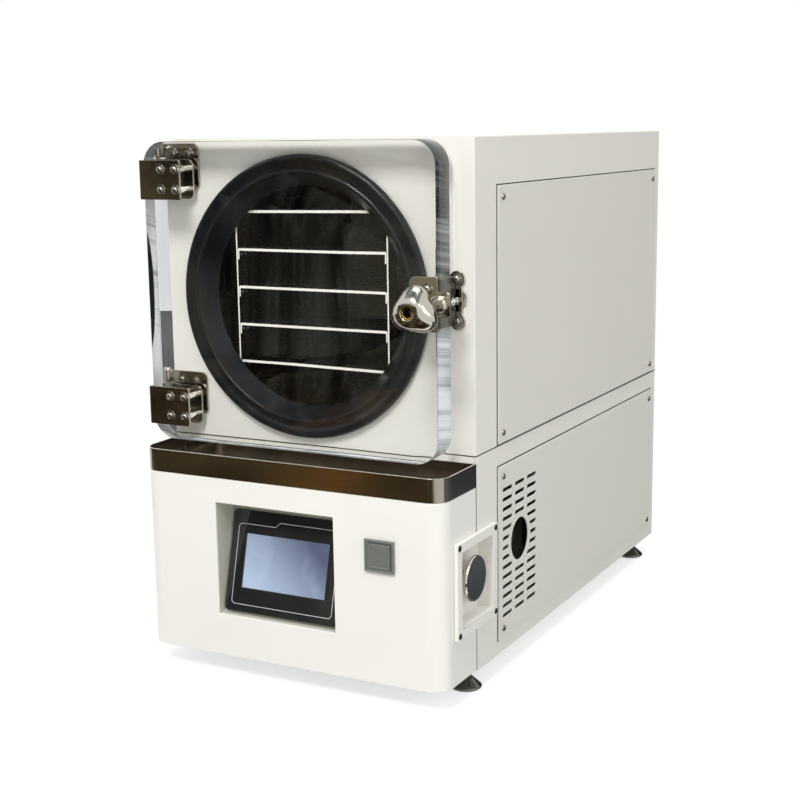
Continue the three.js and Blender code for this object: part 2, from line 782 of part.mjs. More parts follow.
// Vessel with a welded ring behind the cabinet's front, a vacuum port and a drain.
function chamberDrum() {
  const inner = chamberBore;
  const outer = chamberBore + chamberWall;
  const ring = sheet + seat;
  const outline = [
    ...domeArc(inner, domeDepth, 90, 0), [inner, 0], [outer, 0], [outer, ring],
    [outer + flangeWidth, ring], [outer + flangeWidth, ring + flangeThickness],
    [outer, ring + flangeThickness], ...domeArc(outer, domeDepth + chamberWall, 0, 90),
  ];
  const spigot = (x, y, radius, length) => bar('z', x, y, radius, -outer - length, -inner + 6, 12);
  const ports = joinAll([
    spigot(vacuumPipeX - chamberX, vacuumPipeY, vacuumPipeRadius, portLength),
    spigot(drainX - chamberX, drainY, drainPipeRadius, drainLength),
  ]);
  const bores = joinAll([
    spigot(vacuumPipeX - chamberX, vacuumPipeY, vacuumPipeRadius - pipeWall, portLength + overcut),
    spigot(drainX - chamberX, drainY, drainPipeRadius - pipeWall, drainLength + overcut),
  ]);
  const inside = bar('y', 0, 0, inner + 0.5, -overcut, chamberDepth, roundFacets);
  return revolve('y', outline, roundFacets).add(ports.subtract(inside)).subtract(bores);
}

// Moulded ring: a rounded outer bead, a ridge and a lip that leans into the bore.
function doorGasket() {
  const back = -seat;
  const front = -doorStandoff + seat;
  const lipGap = chamberBore - seat;
  const outline = [
    [lipGap, back], [gasketOuter - 1, back], [gasketOuter, back - 2],
    ...arc(gasketOuter - 4, front + 4, 4, 0, -90, 2),
    ...arc(gasketCrest + 3, front + 4, 4, -90, -150, 2),
    ...arc(gasketLip + 3, gasketLipDepth - 3, 3, 180, 90, 1), [lipGap, gasketLipDepth],
  ];
  return revolve('y', outline, roundFacets);
}


// A rack side is a front and a rear upright on a rail that stands on the chamber's wall.
function rackSide(side) {
  const half = rackWidth / 2;
  const x0 = side > 0 ? half - rackSheet : -half;
  const foot = rackFootZ - chamberZ;
  const top = rackTopZ - chamberZ - rackChamfer;
  const rackRear = rackFront + rackDepth;
  const upright = (y) => block(x0, x0 + rackSheet, y, y + rackUprightWidth, foot, top);
  const flat = side > 0 ? x0 + rackSheet - rackFootWidth : x0;
  const rail = block(flat, flat + rackFootWidth, rackFront, rackRear, foot, foot + rackSheet);
  return joinAll([upright(rackFront), upright(rackRear - rackUprightWidth), rail]);
}

// A heated shelf: flat plate with both long edges turned down beside the uprights.
function shelf() {
  const half = rackWidth / 2 - rackSheet - seat;
  const low = -shelfLip - shelfThickness;
  const r = shelfEdgeRadius;
  const outline = roundedRect(-half, half, low, 0, [0, 0, r, r]);
  const body = extrude('y', outline, rackFront, rackFront + rackDepth, 2);
  return body.subtract(block(-half + rackSheet, half - rackSheet, rackFront - overcut,
    rackFront + rackDepth + overcut, low - overcut, -shelfThickness));
}

// The top shelf has its long edges turned down at 45 degrees to clear the round wall.
function topShelf() {
  const width = rackWidth / 2 - seat - rackChamfer;
  const slant = rackSheet * Math.SQRT2;
  const drop = rackChamfer - seat;
  const shape = new THREE.Shape();
  shape.moveTo(-width, 0);
  shape.lineTo(-width - drop, -drop);
  shape.lineTo(-width - drop + slant, -drop);
  shape.lineTo(-width - shelfThickness + slant, -shelfThickness);
  shape.lineTo(width + shelfThickness - slant, -shelfThickness);
  shape.lineTo(width + drop - slant, -drop);
  shape.lineTo(width + drop, -drop);
  shape.lineTo(width, 0);
  shape.closePath();
  return extrude('y', shape, rackFront, rackFront + rackDepth);
}

function shelfRack() {
  const shelves = [];
  for (let i = 0; i < shelfCount; i += 1) {
    const z = bottomShelfZ + i * shelfPitch - chamberZ;
    const solid = i === shelfCount - 1 ? topShelf() : shelf();
    shelves.push(piece(`shelf_${i + 1}`, solid, finish.stainless, [0, 0, z]));
  }
  return group([0, 0, 0],
    piece('rack_side_left', rackSide(-1), finish.stainless),
    piece('rack_side_right', rackSide(1), finish.stainless),
    ...shelves);
}

class Winding extends THREE.Curve {
  constructor(radius) {
    super();
    this.radius = radius;
  }

  getPoint(t, target = new THREE.Vector3()) {
    const angle = t * coilTurns * Math.PI * 2;
    const along = coilStart + t * (coilEnd - coilStart);
    return target.set(this.radius * Math.cos(angle), along, this.radius * Math.sin(angle));
  }
}

const coilRadius = (chamberBore + chamberWall + seat + coilTubeRadius) / Math.cos(Math.PI / coilFacets);
const jacketInner = (coilRadius + coilTubeRadius + seat) / Math.cos(Math.PI / jacketFacets);

// The refrigerant tube wound on the drum, which makes its wall the cold trap.
function evaporatorCoil() {
  const section = new THREE.Shape();
  section.absarc(0, 0, coilTubeRadius, 0, Math.PI * 2, false);
  return toSolid(new THREE.ExtrudeGeometry(section, {
    steps: coilTurns * coilFacets, extrudePath: new Winding(coilRadius), bevelEnabled: false, curveSegments: 3,
  }));
}

function insulationJacket() {
  const outer = jacketInner + jacketThickness;
  return revolve('y', [[jacketInner, jacketStart], [outer, jacketStart],
    [outer, jacketEnd], [jacketInner, jacketEnd]], jacketFacets);
}

// Cradle that carries the drum's back end on the deck.
function chamberSaddle() {
  const outer = chamberBore + chamberWall + seat;
  const end = saddleFront + saddleThickness;
  const body = block(-saddleHalfWidth, saddleHalfWidth, saddleFront, end,
    deckTop + seat - chamberZ, -outer + saddleWrap);
  return body.subtract(bar('y', 0, 0, outer, saddleFront - overcut, end + overcut, roundFacets));
}

function chamber() {
  return group([chamberX, 0, chamberZ],
    piece('chamber_drum', chamberDrum(), finish.stainless),
    piece('door_gasket', doorGasket(), finish.rubber),
    piece('evaporator_coil', evaporatorCoil(), finish.copper),
    piece('insulation_jacket', insulationJacket(), finish.foam),
    piece('chamber_saddle', chamberSaddle(), finish.galvanised),
    shelfRack());
}

// ---------------------------------------------------------------- door and hinges

function doorPanel() {
  const outline = roundedRect(doorLeft, doorRight, doorBottom, doorTop, doorCornerRadius);
  const slab = extrude('y', outline, doorFrontY, doorRearY, 5);
  const holes = [];
  for (const z of [upperHingeZ, lowerHingeZ]) {
    for (const column of clampScrewColumns) {
      for (const row of clampScrewRows) {
        holes.push(bar('y', doorLeft + column, z + row, doorHoleRadius, doorFrontY - 1, doorRearY + 1, 10));
      }
    }
  }
  for (const side of [-1, 1]) {
    holes.push(bar('y', latchScrewX, latchZ + side * latchScrewOffset, doorHoleRadius,
      doorFrontY - 1, doorRearY + 1, 10));
  }
  return cutAll(slab, holes);
}

// One hinge is drawn about its pin, with z = 0 at the clamp's lower edge.
const clampLeft = doorLeft - hingePinX - seat;
const clampTop = clampHeight;
const leafKnuckleBottom = clampHeight + runningGap;
const leafTop = leafRise + leafHeight;

function hingeClamp() {
  const front = doorFrontY - hingePinY - seat;
  const rear = doorRearY - hingePinY + seat;
  const right = doorLeft + clampReach - hingePinX;
  const r = clampCornerRadius;
  const frontPlate = extrude('y', roundedRect(clampLeft - clampPlate, right, 0, clampTop, [1.5, 1.5, 1.5, 1.5]),
    front - clampPlate, front, 1);
  const web = block(clampLeft - clampPlate, clampLeft, front - clampPlate + 1, rear + clampPlate, 0, clampTop);
  const rearPlate = extrude('y', roundedRect(clampLeft - clampPlate, right + 2, 0, clampTop, [0, r, r, 0]),
    rear, rear + clampPlate, 3);
  const knuckle = bar('z', 0, 0, knuckleRadius, 0, clampTop, pinFacets);
  const bore = bar('z', 0, 0, (hingePinRadius + hingePinPlay) / Math.cos(Math.PI / pinFacets),
    -1, clampTop + 1, pinFacets);
  const screws = [];
  for (const column of clampScrewColumns) {
    for (const row of clampScrewRows) {
      screws.push(bar('y', doorLeft - hingePinX + column, row, clampScrewRadius + seat,
        front - clampPlate - overcut, rear + clampPlate + overcut, 8));
    }
  }
  return cutAll(joinAll([frontPlate, web, rearPlate, knuckle]), [bore, ...screws]);
}

function hingeLeaf() {
  const left = -halfWidth + 2 - hingePinX;
  const back = -hingePinY - seat;
  const r = leafCornerRadius;
  const plate = extrude('y', roundedRect(left, left + leafWidth, leafRise, leafTop, [1, r, r, 1]),
    back - leafPlate, back, 3);
  const arm = block(0, left + 2, back - leafPlate, back, leafKnuckleBottom, leafTop);
  const knuckle = bar('z', 0, 0, knuckleRadius, leafKnuckleBottom, leafTop, pinFacets);
  const bore = bar('z', 0, 0, (hingePinRadius + seat) / Math.cos(Math.PI / pinFacets),
    leafKnuckleBottom - 1, leafTop + 1, pinFacets);
  const screws = leafScrewColumns.map((column) => bar('y', left + column, leafScrewRise + leafRise,
    clampScrewRadius + seat, back - leafPlate - overcut, back + overcut, 8));
  return cutAll(joinAll([plate, arm, knuckle]), [bore, ...screws]);
}

// The pin hangs in the leaf's knuckle by its head and reaches down through the clamp's.
function hingePin() {
  const shank = bar('z', 0, 0, hingePinRadius, 0, leafTop + seat + 0.5, pinFacets);
  const head = bar('z', 0, 0, knuckleRadius, leafTop + seat, leafTop + 3, pinFacets, knuckleRadius - 1);
  return shank.add(head);
}

function hinge(label, z) {
  return group([hingePinX, hingePinY, z],
    piece(`hinge_clamp_${label}`, hingeClamp(), finish.polished),
    piece(`hinge_leaf_${label}`, hingeLeaf(), finish.polished),
    piece(`hinge_pin_${label}`, hingePin(), finish.chrome));
}

// ---------------------------------------------------------------- latch

// The latch is drawn about the rod's axis; y stays measured from the cabinet's face.
const latchScrewOffset = 17;
const latchScrewX = doorRight - 9;
const bracketFaceY = doorFrontY - seat - latchPlate;

// One folded plate: two ears on the door's face, two legs along its edge and a centre
// tab with the hole that carries the rod.
function latchBracket() {
  const left = doorRight - latchEarReach - latchX;
  const legX = doorRight + seat - latchX;
  const h = latchHalfHeight;
  const t = latchPlate;
  const face = extrude('y', roundedRect(left, legX + t, -h, h, [latchEarRadius, 2, 2, latchEarRadius]),
    bracketFaceY, bracketFaceY + t, 3);
  const waist = block(left - overcut, left + 9, bracketFaceY - overcut, bracketFaceY + t + overcut,
    -latchSlotHalf, latchSlotHalf);
  const tab = extrude('y', roundedRect(legX, latchTabReach, -latchTabReach, latchTabReach, [0, 5, 5, 0]),
    bracketFaceY, bracketFaceY + t, 2);
  const legEnd = -keeperThickness - 2 * seat - runningGap;
  const leg = (z0, z1) => block(legX, legX + t, bracketFaceY + t - 1, legEnd, z0, z1);
  const rodRoom = bar('y', 0, 0, rodShoulderRadius + runningGap, bracketFaceY + t + 0.01, legEnd + overcut, 20);
  const rodHole = bar('y', 0, 0, (rodRadius + rodPlay) / Math.cos(Math.PI / pinFacets),
    bracketFaceY - 1, bracketFaceY + t + 1, pinFacets);
  const screws = [-1, 1].map((side) => bar('y', latchScrewX - latchX, side * latchScrewOffset,
    clampScrewRadius + seat, bracketFaceY - overcut, bracketFaceY + t + overcut, 8));
  const legs = [leg(-h + 3, -latchSlotHalf), leg(latchSlotHalf, h - 3)];
  return cutAll(joinAll([face, tab, ...legs]), [waist, rodRoom, rodHole, ...screws]);
}

// Plate with two round lugs and a waist, and the slot that the rod's head passes.
function latchKeeper() {
  const lobe = keeperLobeRadius;
  const reach = keeperHalfHeight - lobe;
  const dip = 56;                    // degrees below the side where a lug meets the waist
  const tangent = THREE.MathUtils.degToRad(dip);
  const shape = new THREE.Shape();
  shape.absarc(0, reach, lobe, -tangent, Math.PI + tangent, false);
  shape.quadraticCurveTo(-keeperWaist, reach * 0.4, -keeperWaist, 0);
  shape.quadraticCurveTo(-keeperWaist, -reach * 0.4, -lobe * Math.cos(tangent), lobe * Math.sin(tangent) - reach);
  shape.absarc(0, -reach, lobe, Math.PI - tangent, Math.PI * 2 + tangent, false);
  shape.quadraticCurveTo(keeperWaist, -reach * 0.4, keeperWaist, 0);
  shape.quadraticCurveTo(keeperWaist, reach * 0.4, lobe * Math.cos(tangent), reach - lobe * Math.sin(tangent));
  const plate = extrude('y', shape, -keeperThickness - seat, -seat, 6);
  const slot = extrude('y', roundedRect(-keeperSlotWidth / 2, keeperSlotWidth / 2,
    -keeperSlotLength / 2, keeperSlotLength / 2, 2), -keeperThickness - overcut, overcut, 2);
  const screws = [-1, 1].map((side) => bar('y', 0, side * reach, clampScrewRadius + seat,
    -keeperThickness - overcut, overcut, 8));
  return cutAll(plate, [slot, ...screws]);
}

// Rod with a flat T head; a quarter turn puts the head across the keeper's slot. The
// shoulder bears on the back of the bracket and the knob on its front.
function latchRod() {
  const headBack = rodHeadThickness + seat;
  const shank = bar('y', 0, 0, rodRadius, knobRodEnd, headBack, pinFacets);
  const shoulder = bar('y', 0, 0, rodShoulderRadius, bracketFaceY + latchPlate + seat,
    -keeperThickness - 3 * seat, pinFacets);
  const head = extrude('y', roundedRect(-rodHeadWidth / 2, rodHeadWidth / 2,
    -rodHeadLength / 2, rodHeadLength / 2, 1.5), seat, headBack, 2);
  return joinAll([shank, shoulder, head]);
}

const knobBackY = bracketFaceY - seat;
const knobRodEnd = knobBackY - knobBodyLength + 4;

// Cast hand knob: a lobed grip between a front hub with a deep bore and a waisted neck.
function latchKnob() {
  const grip = new THREE.Shape();
  const steps = 36;
  const turn = THREE.MathUtils.degToRad(knobLobeTurn);
  for (let i = 0; i < steps; i += 1) {
    const a = (i / steps) * Math.PI * 2;
    const r = knobLobeRadius + knobLobeDepth * Math.cos(knobLobes * (a - turn));
    if (i === 0) grip.moveTo(r * Math.cos(a), r * Math.sin(a));
    else grip.lineTo(r * Math.cos(a), r * Math.sin(a));
  }
  grip.closePath();
  const gripFront = knobBackY - knobBodyLength;
  const gripBack = gripFront + knobGripLength;
  const face = gripFront - knobHubLength;
  const gripBody = extrude('y', grip, gripFront, gripBack, 1, 6);
  const hub = revolve('y', [
    [0, knobBackY], [knobCollarRadius, knobBackY], [knobCollarRadius, knobBackY - 4],
    [knobNeckRadius, knobBackY - 8], [knobNeckRadius + 1, gripBack + 16], [knobNeckRadius + 4, gripBack + 6],
    [knobHubRadius + 1.5, gripBack - 3], [knobHubRadius + 0.5, gripFront],
    ...arc(knobHubRadius - 3, face + 3, 3, 0, -90, 3), [0, face],
  ], 32);
  const bore = bar('y', 0, 0, knobBore, face - 1, face + knobBoreDepth, 16);
  const sink = bar('y', 0, 0, knobBore + 2.4, face - 1, face + 1.2, 16, knobBore);
  const rodHole = bar('y', 0, 0, rodRadius + 0.15, knobRodEnd - seat, knobBackY + 1, 16);
  return cutAll(gripBody.add(hub), [bore, sink, rodHole]);
}

function latch() {
  return group([latchX, 0, latchZ],
    piece('latch_bracket', latchBracket(), finish.polished),
    piece('latch_keeper', latchKeeper(), finish.polished),
    piece('latch_rod', latchRod(), finish.chrome),
    piece('latch_knob', latchKnob(), finish.chrome));
}

// ---------------------------------------------------------------- levelling feet

// Flared foot, jam nut and threaded stud, turned as one about the stud.
function levellingFoot() {
  const nutTop = footHeight - seat;
  const cone = revolve('z', [
    [0, 0], [footPadRadius - 1, 0], [footPadRadius, 1], [footPadRadius, footPadThickness],
    [footStudRadius + 4, footConeHeight - 2], [footStudRadius + 2, footConeHeight], [0, footConeHeight],
  ], 20);
  const nut = bar('z', 0, 0, footNutRadius, nutTop - footNutHeight, nutTop, 6);
  const stud = bar('z', 0, 0, footStudRadius, footConeHeight - 1, footHeight + sheet + footStudRise, 8);
  return joinAll([cone, nut, stud]);
}

function feet() {
  return group([0, 0, 0], ...Object.entries(footPlaces()).map(([name, [x, y]]) =>
    piece(name, levellingFoot(), finish.chrome, [x, y, 0])));
}

// ---------------------------------------------------------------- machinery inside

const machineFloor = baseZ + sheet + seat;

// Hermetic compressor: welded shell with a seam band, standing on a foot plate.
function compressor() {
  const r = compressorRadius;
  const h = compressorHeight;
  const shell = revolve('z', [
    [0, 14], ...arc(r - 22, 36, 22, -90, 0, 2),
    [r, h * 0.55], [r + 3, h * 0.55], [r + 3, h * 0.55 + 7], [r - 1, h * 0.55 + 7],
    ...arc(r - 41, h - 26, 40, 0, 90, 2), [0, h + 14],
  ], 20);
  const plate = extrude('z', roundedRect(-r, r, -r, r, 16), 0, 3, 3);
  const legs = [-1, 1].flatMap((sx) => [-1, 1].map((sy) =>
    bar('z', sx * (r - 32), sy * (r - 32), 9, 2, 24, 8)));
  const stub = bar('x', 0, compressorStubHeight, 5, r - 6, r + 14, 12);
  return joinAll([shell, plate, ...legs, stub]);
}

const condenserX = -172;
const condenserY0 = 90;
const condenserWidth = 150;
const condenserHeight = 160;
const condenserThickness = 34;

// Fins threaded on three cross tubes between two end plates.
function condenser() {
  const x0 = condenserX;
  const x1 = condenserX + condenserThickness;
  const z0 = machineFloor;
  const z1 = machineFloor + condenserHeight;
  const pitch = condenserWidth / (condenserFins - 1);
  const plates = [];
  for (let i = 0; i < condenserFins; i += 1) {
    const isEnd = i === 0 || i === condenserFins - 1;
    const lift = isEnd ? 0 : 8;
    const y = condenserY0 + i * pitch;
    plates.push(block(x0, x1, y, y + (isEnd ? 2 : 1), z0 + lift, z1 - lift));
  }
  const tubes = [0.25, 0.5, 0.75].map((share) => bar('y', (x0 + x1) / 2, z0 + condenserHeight * share,
    4.5, condenserY0 - 6, condenserY0 + condenserWidth + 8, 6));
  return joinAll([...plates, ...tubes]);
}

const shroudX = condenserX + condenserThickness + seat;
const fanY = condenserY0 + condenserWidth / 2 + 1;
const fanZ = machineFloor + condenserHeight / 2;

function fanShroud() {
  const t = 1.5;
  const depth = shroudDepth;
  const plate = block(shroudX, shroudX + t, condenserY0 - 2, condenserY0 + condenserWidth + 4,
    machineFloor, machineFloor + condenserHeight);
  const ring = bar('x', fanY, fanZ, fanRadius + 5.5, shroudX, shroudX + depth, 24);
  const hole = bar('x', fanY, fanZ, (fanRadius + runningGap) / Math.cos(Math.PI / 24),
    shroudX - overcut, shroudX + depth + overcut, 24);
  const arms = [0, 1, 2].map((i) => {
    const arm = block(depth - 4, depth, -4, 4, 8, fanRadius + 5);
    return arm.rotate([i * 120, 0, 0]).translate([shroudX, fanY, fanZ]);
  });
  const boss = bar('x', fanY, fanZ, 12, shroudX + depth - 4, shroudX + depth, 20);
  const shaftHole = bar('x', fanY, fanZ, 3.5, shroudX + depth - 8, shroudX + depth + 1, 12);
  return joinAll([plate.add(ring).subtract(hole), ...arms, boss]).subtract(shaftHole);
}

function fanMotor() {
  const can = bar('x', 0, 0, 20, 0, 34, 24);
  const nose = bar('x', 0, 0, 2.5, -19, 1, 12);
  return can.add(nose);
}

// Hub and pitched blades, turning about the motor's shaft.
function fanRotor() {
  const middle = fanDepth / 2;
  const hub = bar('x', 0, 0, fanHubRadius, 2, fanDepth - 2, 24);
  const shaftHole = bar('x', 0, 0, 2.8, -1, 20, 16);
  const blades = [];
  for (let i = 0; i < fanBlades; i += 1) {
    const blade = block(-fanBladeThickness / 2, fanBladeThickness / 2, -fanBladeChord / 2, fanBladeChord / 2,
      fanHubRadius - 3, fanRadius);
    blades.push(blade.rotate([0, 0, 24]).translate([middle, 0, 0]).rotate([(i * 360) / fanBlades, 0, 0]));
  }
  const swept = bar('x', 0, 0, fanRadius, 0, fanDepth, 24);
  return joinAll([hub, ...blades]).intersect(swept).subtract(shaftHole);
}

// Folded steel box of the control and power electronics.
function controlBox() {
  const [w, d, h] = [controlBoxWidth, controlBoxDepth, controlBoxHeight];
  const body = block(0, w, 0, d, 0, h);
  const ribs = [];
  for (let i = 0; i < 6; i += 1) ribs.push(block(12 + i * 17, 20 + i * 17, -overcut, 3, 20, h - 20));
  return cutAll(body, ribs);
}

function inletCutout() {
  return block(inletX - 14.5, inletX + 14.5, rearY - sheet - overcut, rearY + overcut, inletZ - 11, inletZ + 11);
}

const inletX = -130;
const inletZ = baseZ + 60;

// Appliance inlet: flanged body with a recessed socket and three flat pins.
function powerInlet() {
  const back = rearY + seat;
  const flange = extrude('y', roundedRect(-24, 24, -14, 14, 4), back, back + 2.5, 3);
  const body = block(-14, 14, back - 22, back + 1, -10.5, 10.5);
  const socket = extrude('y', roundedRect(-12, 12, -8, 8, [3, 3, 5, 5]), back - 17, back + 2.5 + overcut, 2);
  const pins = [[-6, -2], [6, -2], [0, 3]].map(([x, z]) => block(x - 1, x + 1, back - 18, back - 4, z - 2.5, z + 2.5));
  return joinAll([flange.add(body).subtract(socket), ...pins]);
}

// From the chamber's port down through the deck and forward to the service hole.
function vacuumPipe() {
  const start = chamberZ - chamberBore - chamberWall - portLength - seat;
  const low = serviceHoleZ;
  const end = halfWidth - 14;
  const bend = 30;
  const x = vacuumPipeX;
  const y = vacuumPipeY;
  const tube = pipe([[x, y, start], [x, y, start - 20], [x, y, low + bend], [x + 9, y - 12, low + 7],
    [x + bend, y - bend, low], [serviceTurnX, serviceHoleY + bend + 20, low],
    [serviceTurnX + 16, serviceHoleY + 12, low], [serviceTurnX + 40, serviceHoleY, low],
    [end, serviceHoleY, low]], vacuumPipeRadius, 10, 20);
  const flange = bar('x', serviceHoleY, low, vacuumFlangeRadius, end - 4, end, 20);
  const mouth = bar('x', serviceHoleY, low, vacuumPipeRadius - pipeWall, end - 12, end + 1, 12);
  return tube.add(flange).subtract(mouth);
}

const serviceTurnX = 120;

// From the chamber's low point to the vent valve's outlet.
function drainPipe() {
  const start = chamberZ - chamberBore - chamberWall - drainLength - seat;
  const endZ = valveZ + seat;
  return pipe([[drainX, drainY, start], [drainX, drainY, start - 40], [drainX + 16, drainY - 6, start - 70],
    [valveBodyX - 40, valveY + 10, endZ + 60], [valveBodyX - 22, valveY, endZ + 38],
    [valveBodyX - 22, valveY, endZ + 14]], drainPipeRadius, 6, 14);
}

function machinery() {
  const motorX = shroudX + shroudDepth + seat;
  return group([0, 0, 0],
    piece('compressor', compressor(), finish.darkSteel,
      [compressorX, rearY - compressorRearInset, machineFloor]),
    piece('condenser', condenser(), finish.galvanised),
    piece('fan_shroud', fanShroud(), finish.darkSteel),
    piece('fan_motor', fanMotor(), finish.darkSteel, [motorX, fanY, fanZ]),
    piece('fan_rotor', fanRotor(), finish.blackPlastic, [shroudX + 3, fanY, fanZ]),
    piece('control_box', controlBox(), finish.galvanised,
      [controlBoxX, rearY - controlBoxRearInset - controlBoxDepth, machineFloor]),
    piece('power_inlet', powerInlet(), finish.blackPlastic, [inletX, 0, inletZ]),
    piece('vacuum_pipe', vacuumPipe(), finish.stainless),
    piece('drain_pipe', drainPipe(), finish.blackPlastic));
}

// ---------------------------------------------------------------- whole model

const freezeDryer = group([0, 0, 0],
  cabinet(),
  group([0, 0, 0], piece('fascia', fascia(), finish.fascia), piece('drip_trough', dripTrough(), finish.polished)),
  touchScreen(),
  startButton(),
  ventValve(),
  chamber(),
  group([0, 0, 0], piece('door_panel', doorPanel(), finish.acrylic)),
  hinge('upper', upperHingeZ),
  hinge('lower', lowerHingeZ),
  latch(),
  feet(),
  machinery());
freezeDryer.name = 'freeze_dryer';

const bounds = new THREE.Box3().setFromObject(freezeDryer);
const centre = bounds.getCenter(new THREE.Vector3());
freezeDryer.position.set(-centre.x, -centre.y, -bounds.min.z);

export default freezeDryer;
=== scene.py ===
"""Bench-top freeze dryer: finishes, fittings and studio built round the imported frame.

Lengths are metres in the shared frame: +X is the operator's right, -Y the front and
+Z up, with the floor at z = 0. Sizes written in millimetres are turned into metres
by mm().
"""

import json
import logging
import math
from collections.abc import Callable, Iterable, Sequence
from dataclasses import dataclass, field
from enum import Enum

import bmesh
import bpy
from mathutils import Matrix, Vector


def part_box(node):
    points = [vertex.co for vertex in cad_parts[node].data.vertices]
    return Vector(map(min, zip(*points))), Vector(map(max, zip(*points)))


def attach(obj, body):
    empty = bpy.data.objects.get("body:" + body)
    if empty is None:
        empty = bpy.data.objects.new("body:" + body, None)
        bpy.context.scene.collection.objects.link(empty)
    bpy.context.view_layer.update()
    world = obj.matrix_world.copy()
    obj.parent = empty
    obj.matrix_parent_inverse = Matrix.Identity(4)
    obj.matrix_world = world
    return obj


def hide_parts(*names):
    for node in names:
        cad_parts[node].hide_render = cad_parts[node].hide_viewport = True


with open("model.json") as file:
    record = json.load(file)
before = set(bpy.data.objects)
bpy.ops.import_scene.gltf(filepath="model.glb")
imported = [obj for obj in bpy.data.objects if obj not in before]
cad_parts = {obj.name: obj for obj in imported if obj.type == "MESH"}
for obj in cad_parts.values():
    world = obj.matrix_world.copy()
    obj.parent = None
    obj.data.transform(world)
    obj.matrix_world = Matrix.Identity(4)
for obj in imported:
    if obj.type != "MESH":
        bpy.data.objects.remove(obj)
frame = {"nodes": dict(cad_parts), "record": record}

log = logging.getLogger("freeze_dryer")

Point = tuple[float, float]
Place = tuple[float, float, float]
Step = tuple[float, float, float]
Colour = tuple[float, float, float, float]
Material = bpy.types.Material
Mesh = bpy.types.Mesh
Object = bpy.types.Object
Shape = bmesh.types.BMesh
Socket = bpy.types.NodeSocket

ORIGIN: Place = (0.0, 0.0, 0.0)
QUARTER_TURN: Place = (math.pi / 2, 0.0, 0.0)  # from facing up to facing the front
WHITE: Colour = (1.0, 1.0, 1.0, 1.0)
SMOOTH = 34.0  # the sharpest edge that is shaded smooth, in degrees


# ---------------------------------------------------------------- sizes and places


def mm(length: float) -> float:
    """Turn millimetres into metres."""
    return length * 0.001


# The door's holes: four from the door's left edge and each clamp's foot, and two from the
# right edge, above and below the latch.
CLAMP_HOLES: list[Point] = [(x, z) for x in (mm(27), mm(47.5)) for z in (mm(11.5), mm(35))]
LATCH_HOLE_INSET = mm(9)
LATCH_HOLE_RISE = mm(17)


def tint(code: str) -> Colour:
    """Turn a colour written as six hexadecimal digits into linear light.

    Args:
        code: The colour as it looks on a screen, such as "ECEADF".

    Returns:
        Red, green, blue and an opacity of 1.
    """
    parts = [int(code[i:i + 2], 16) / 255 for i in (0, 2, 4)]
    red, green, blue = (c / 12.92 if c <= 0.04045 else ((c + 0.055) / 1.055) ** 2.4 for c in parts)
    return red, green, blue, 1.0


class Facing(Enum):
    """The directions that a fitting can face."""

    RIGHT = (1, 0, 0)
    LEFT = (-1, 0, 0)
    BACK = (0, 1, 0)
    FRONT = (0, -1, 0)
    UP = (0, 0, 1)


@dataclass(frozen=True)
class Box:
    """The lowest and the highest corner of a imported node."""

    low: Vector
    high: Vector

    @classmethod
    def of(cls, node: str) -> "Box":
        """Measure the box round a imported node."""
        low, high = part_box(node)
        return cls(Vector(low), Vector(high))

    @property
    def centre(self) -> Vector:
        """The middle of the box."""
        return (self.low + self.high) / 2

    @property
    def size(self) -> Vector:
        """The box's width, depth and height."""
        return self.high - self.low

    @property
    def side(self) -> Facing:
        """The side of the machine that the box is on."""
        return Facing.RIGHT if self.centre.x > 0 else Facing.LEFT

    def reach(self, side: Facing) -> float:
        """Give how far the box reaches to the right or to the left."""
        return self.high.x if side is Facing.RIGHT else self.low.x

    def corners(self, side: Facing, inset: float, foot: float) -> list[Vector]:
        """Give a place near each corner of the right or left side; foot is the inset below."""
        return [Vector((self.reach(side), y, z)) for y in (self.low.y + inset, self.high.y - inset)
                for z in (self.low.z + foot, self.high.z - inset)]


# ---------------------------------------------------------------- node trees


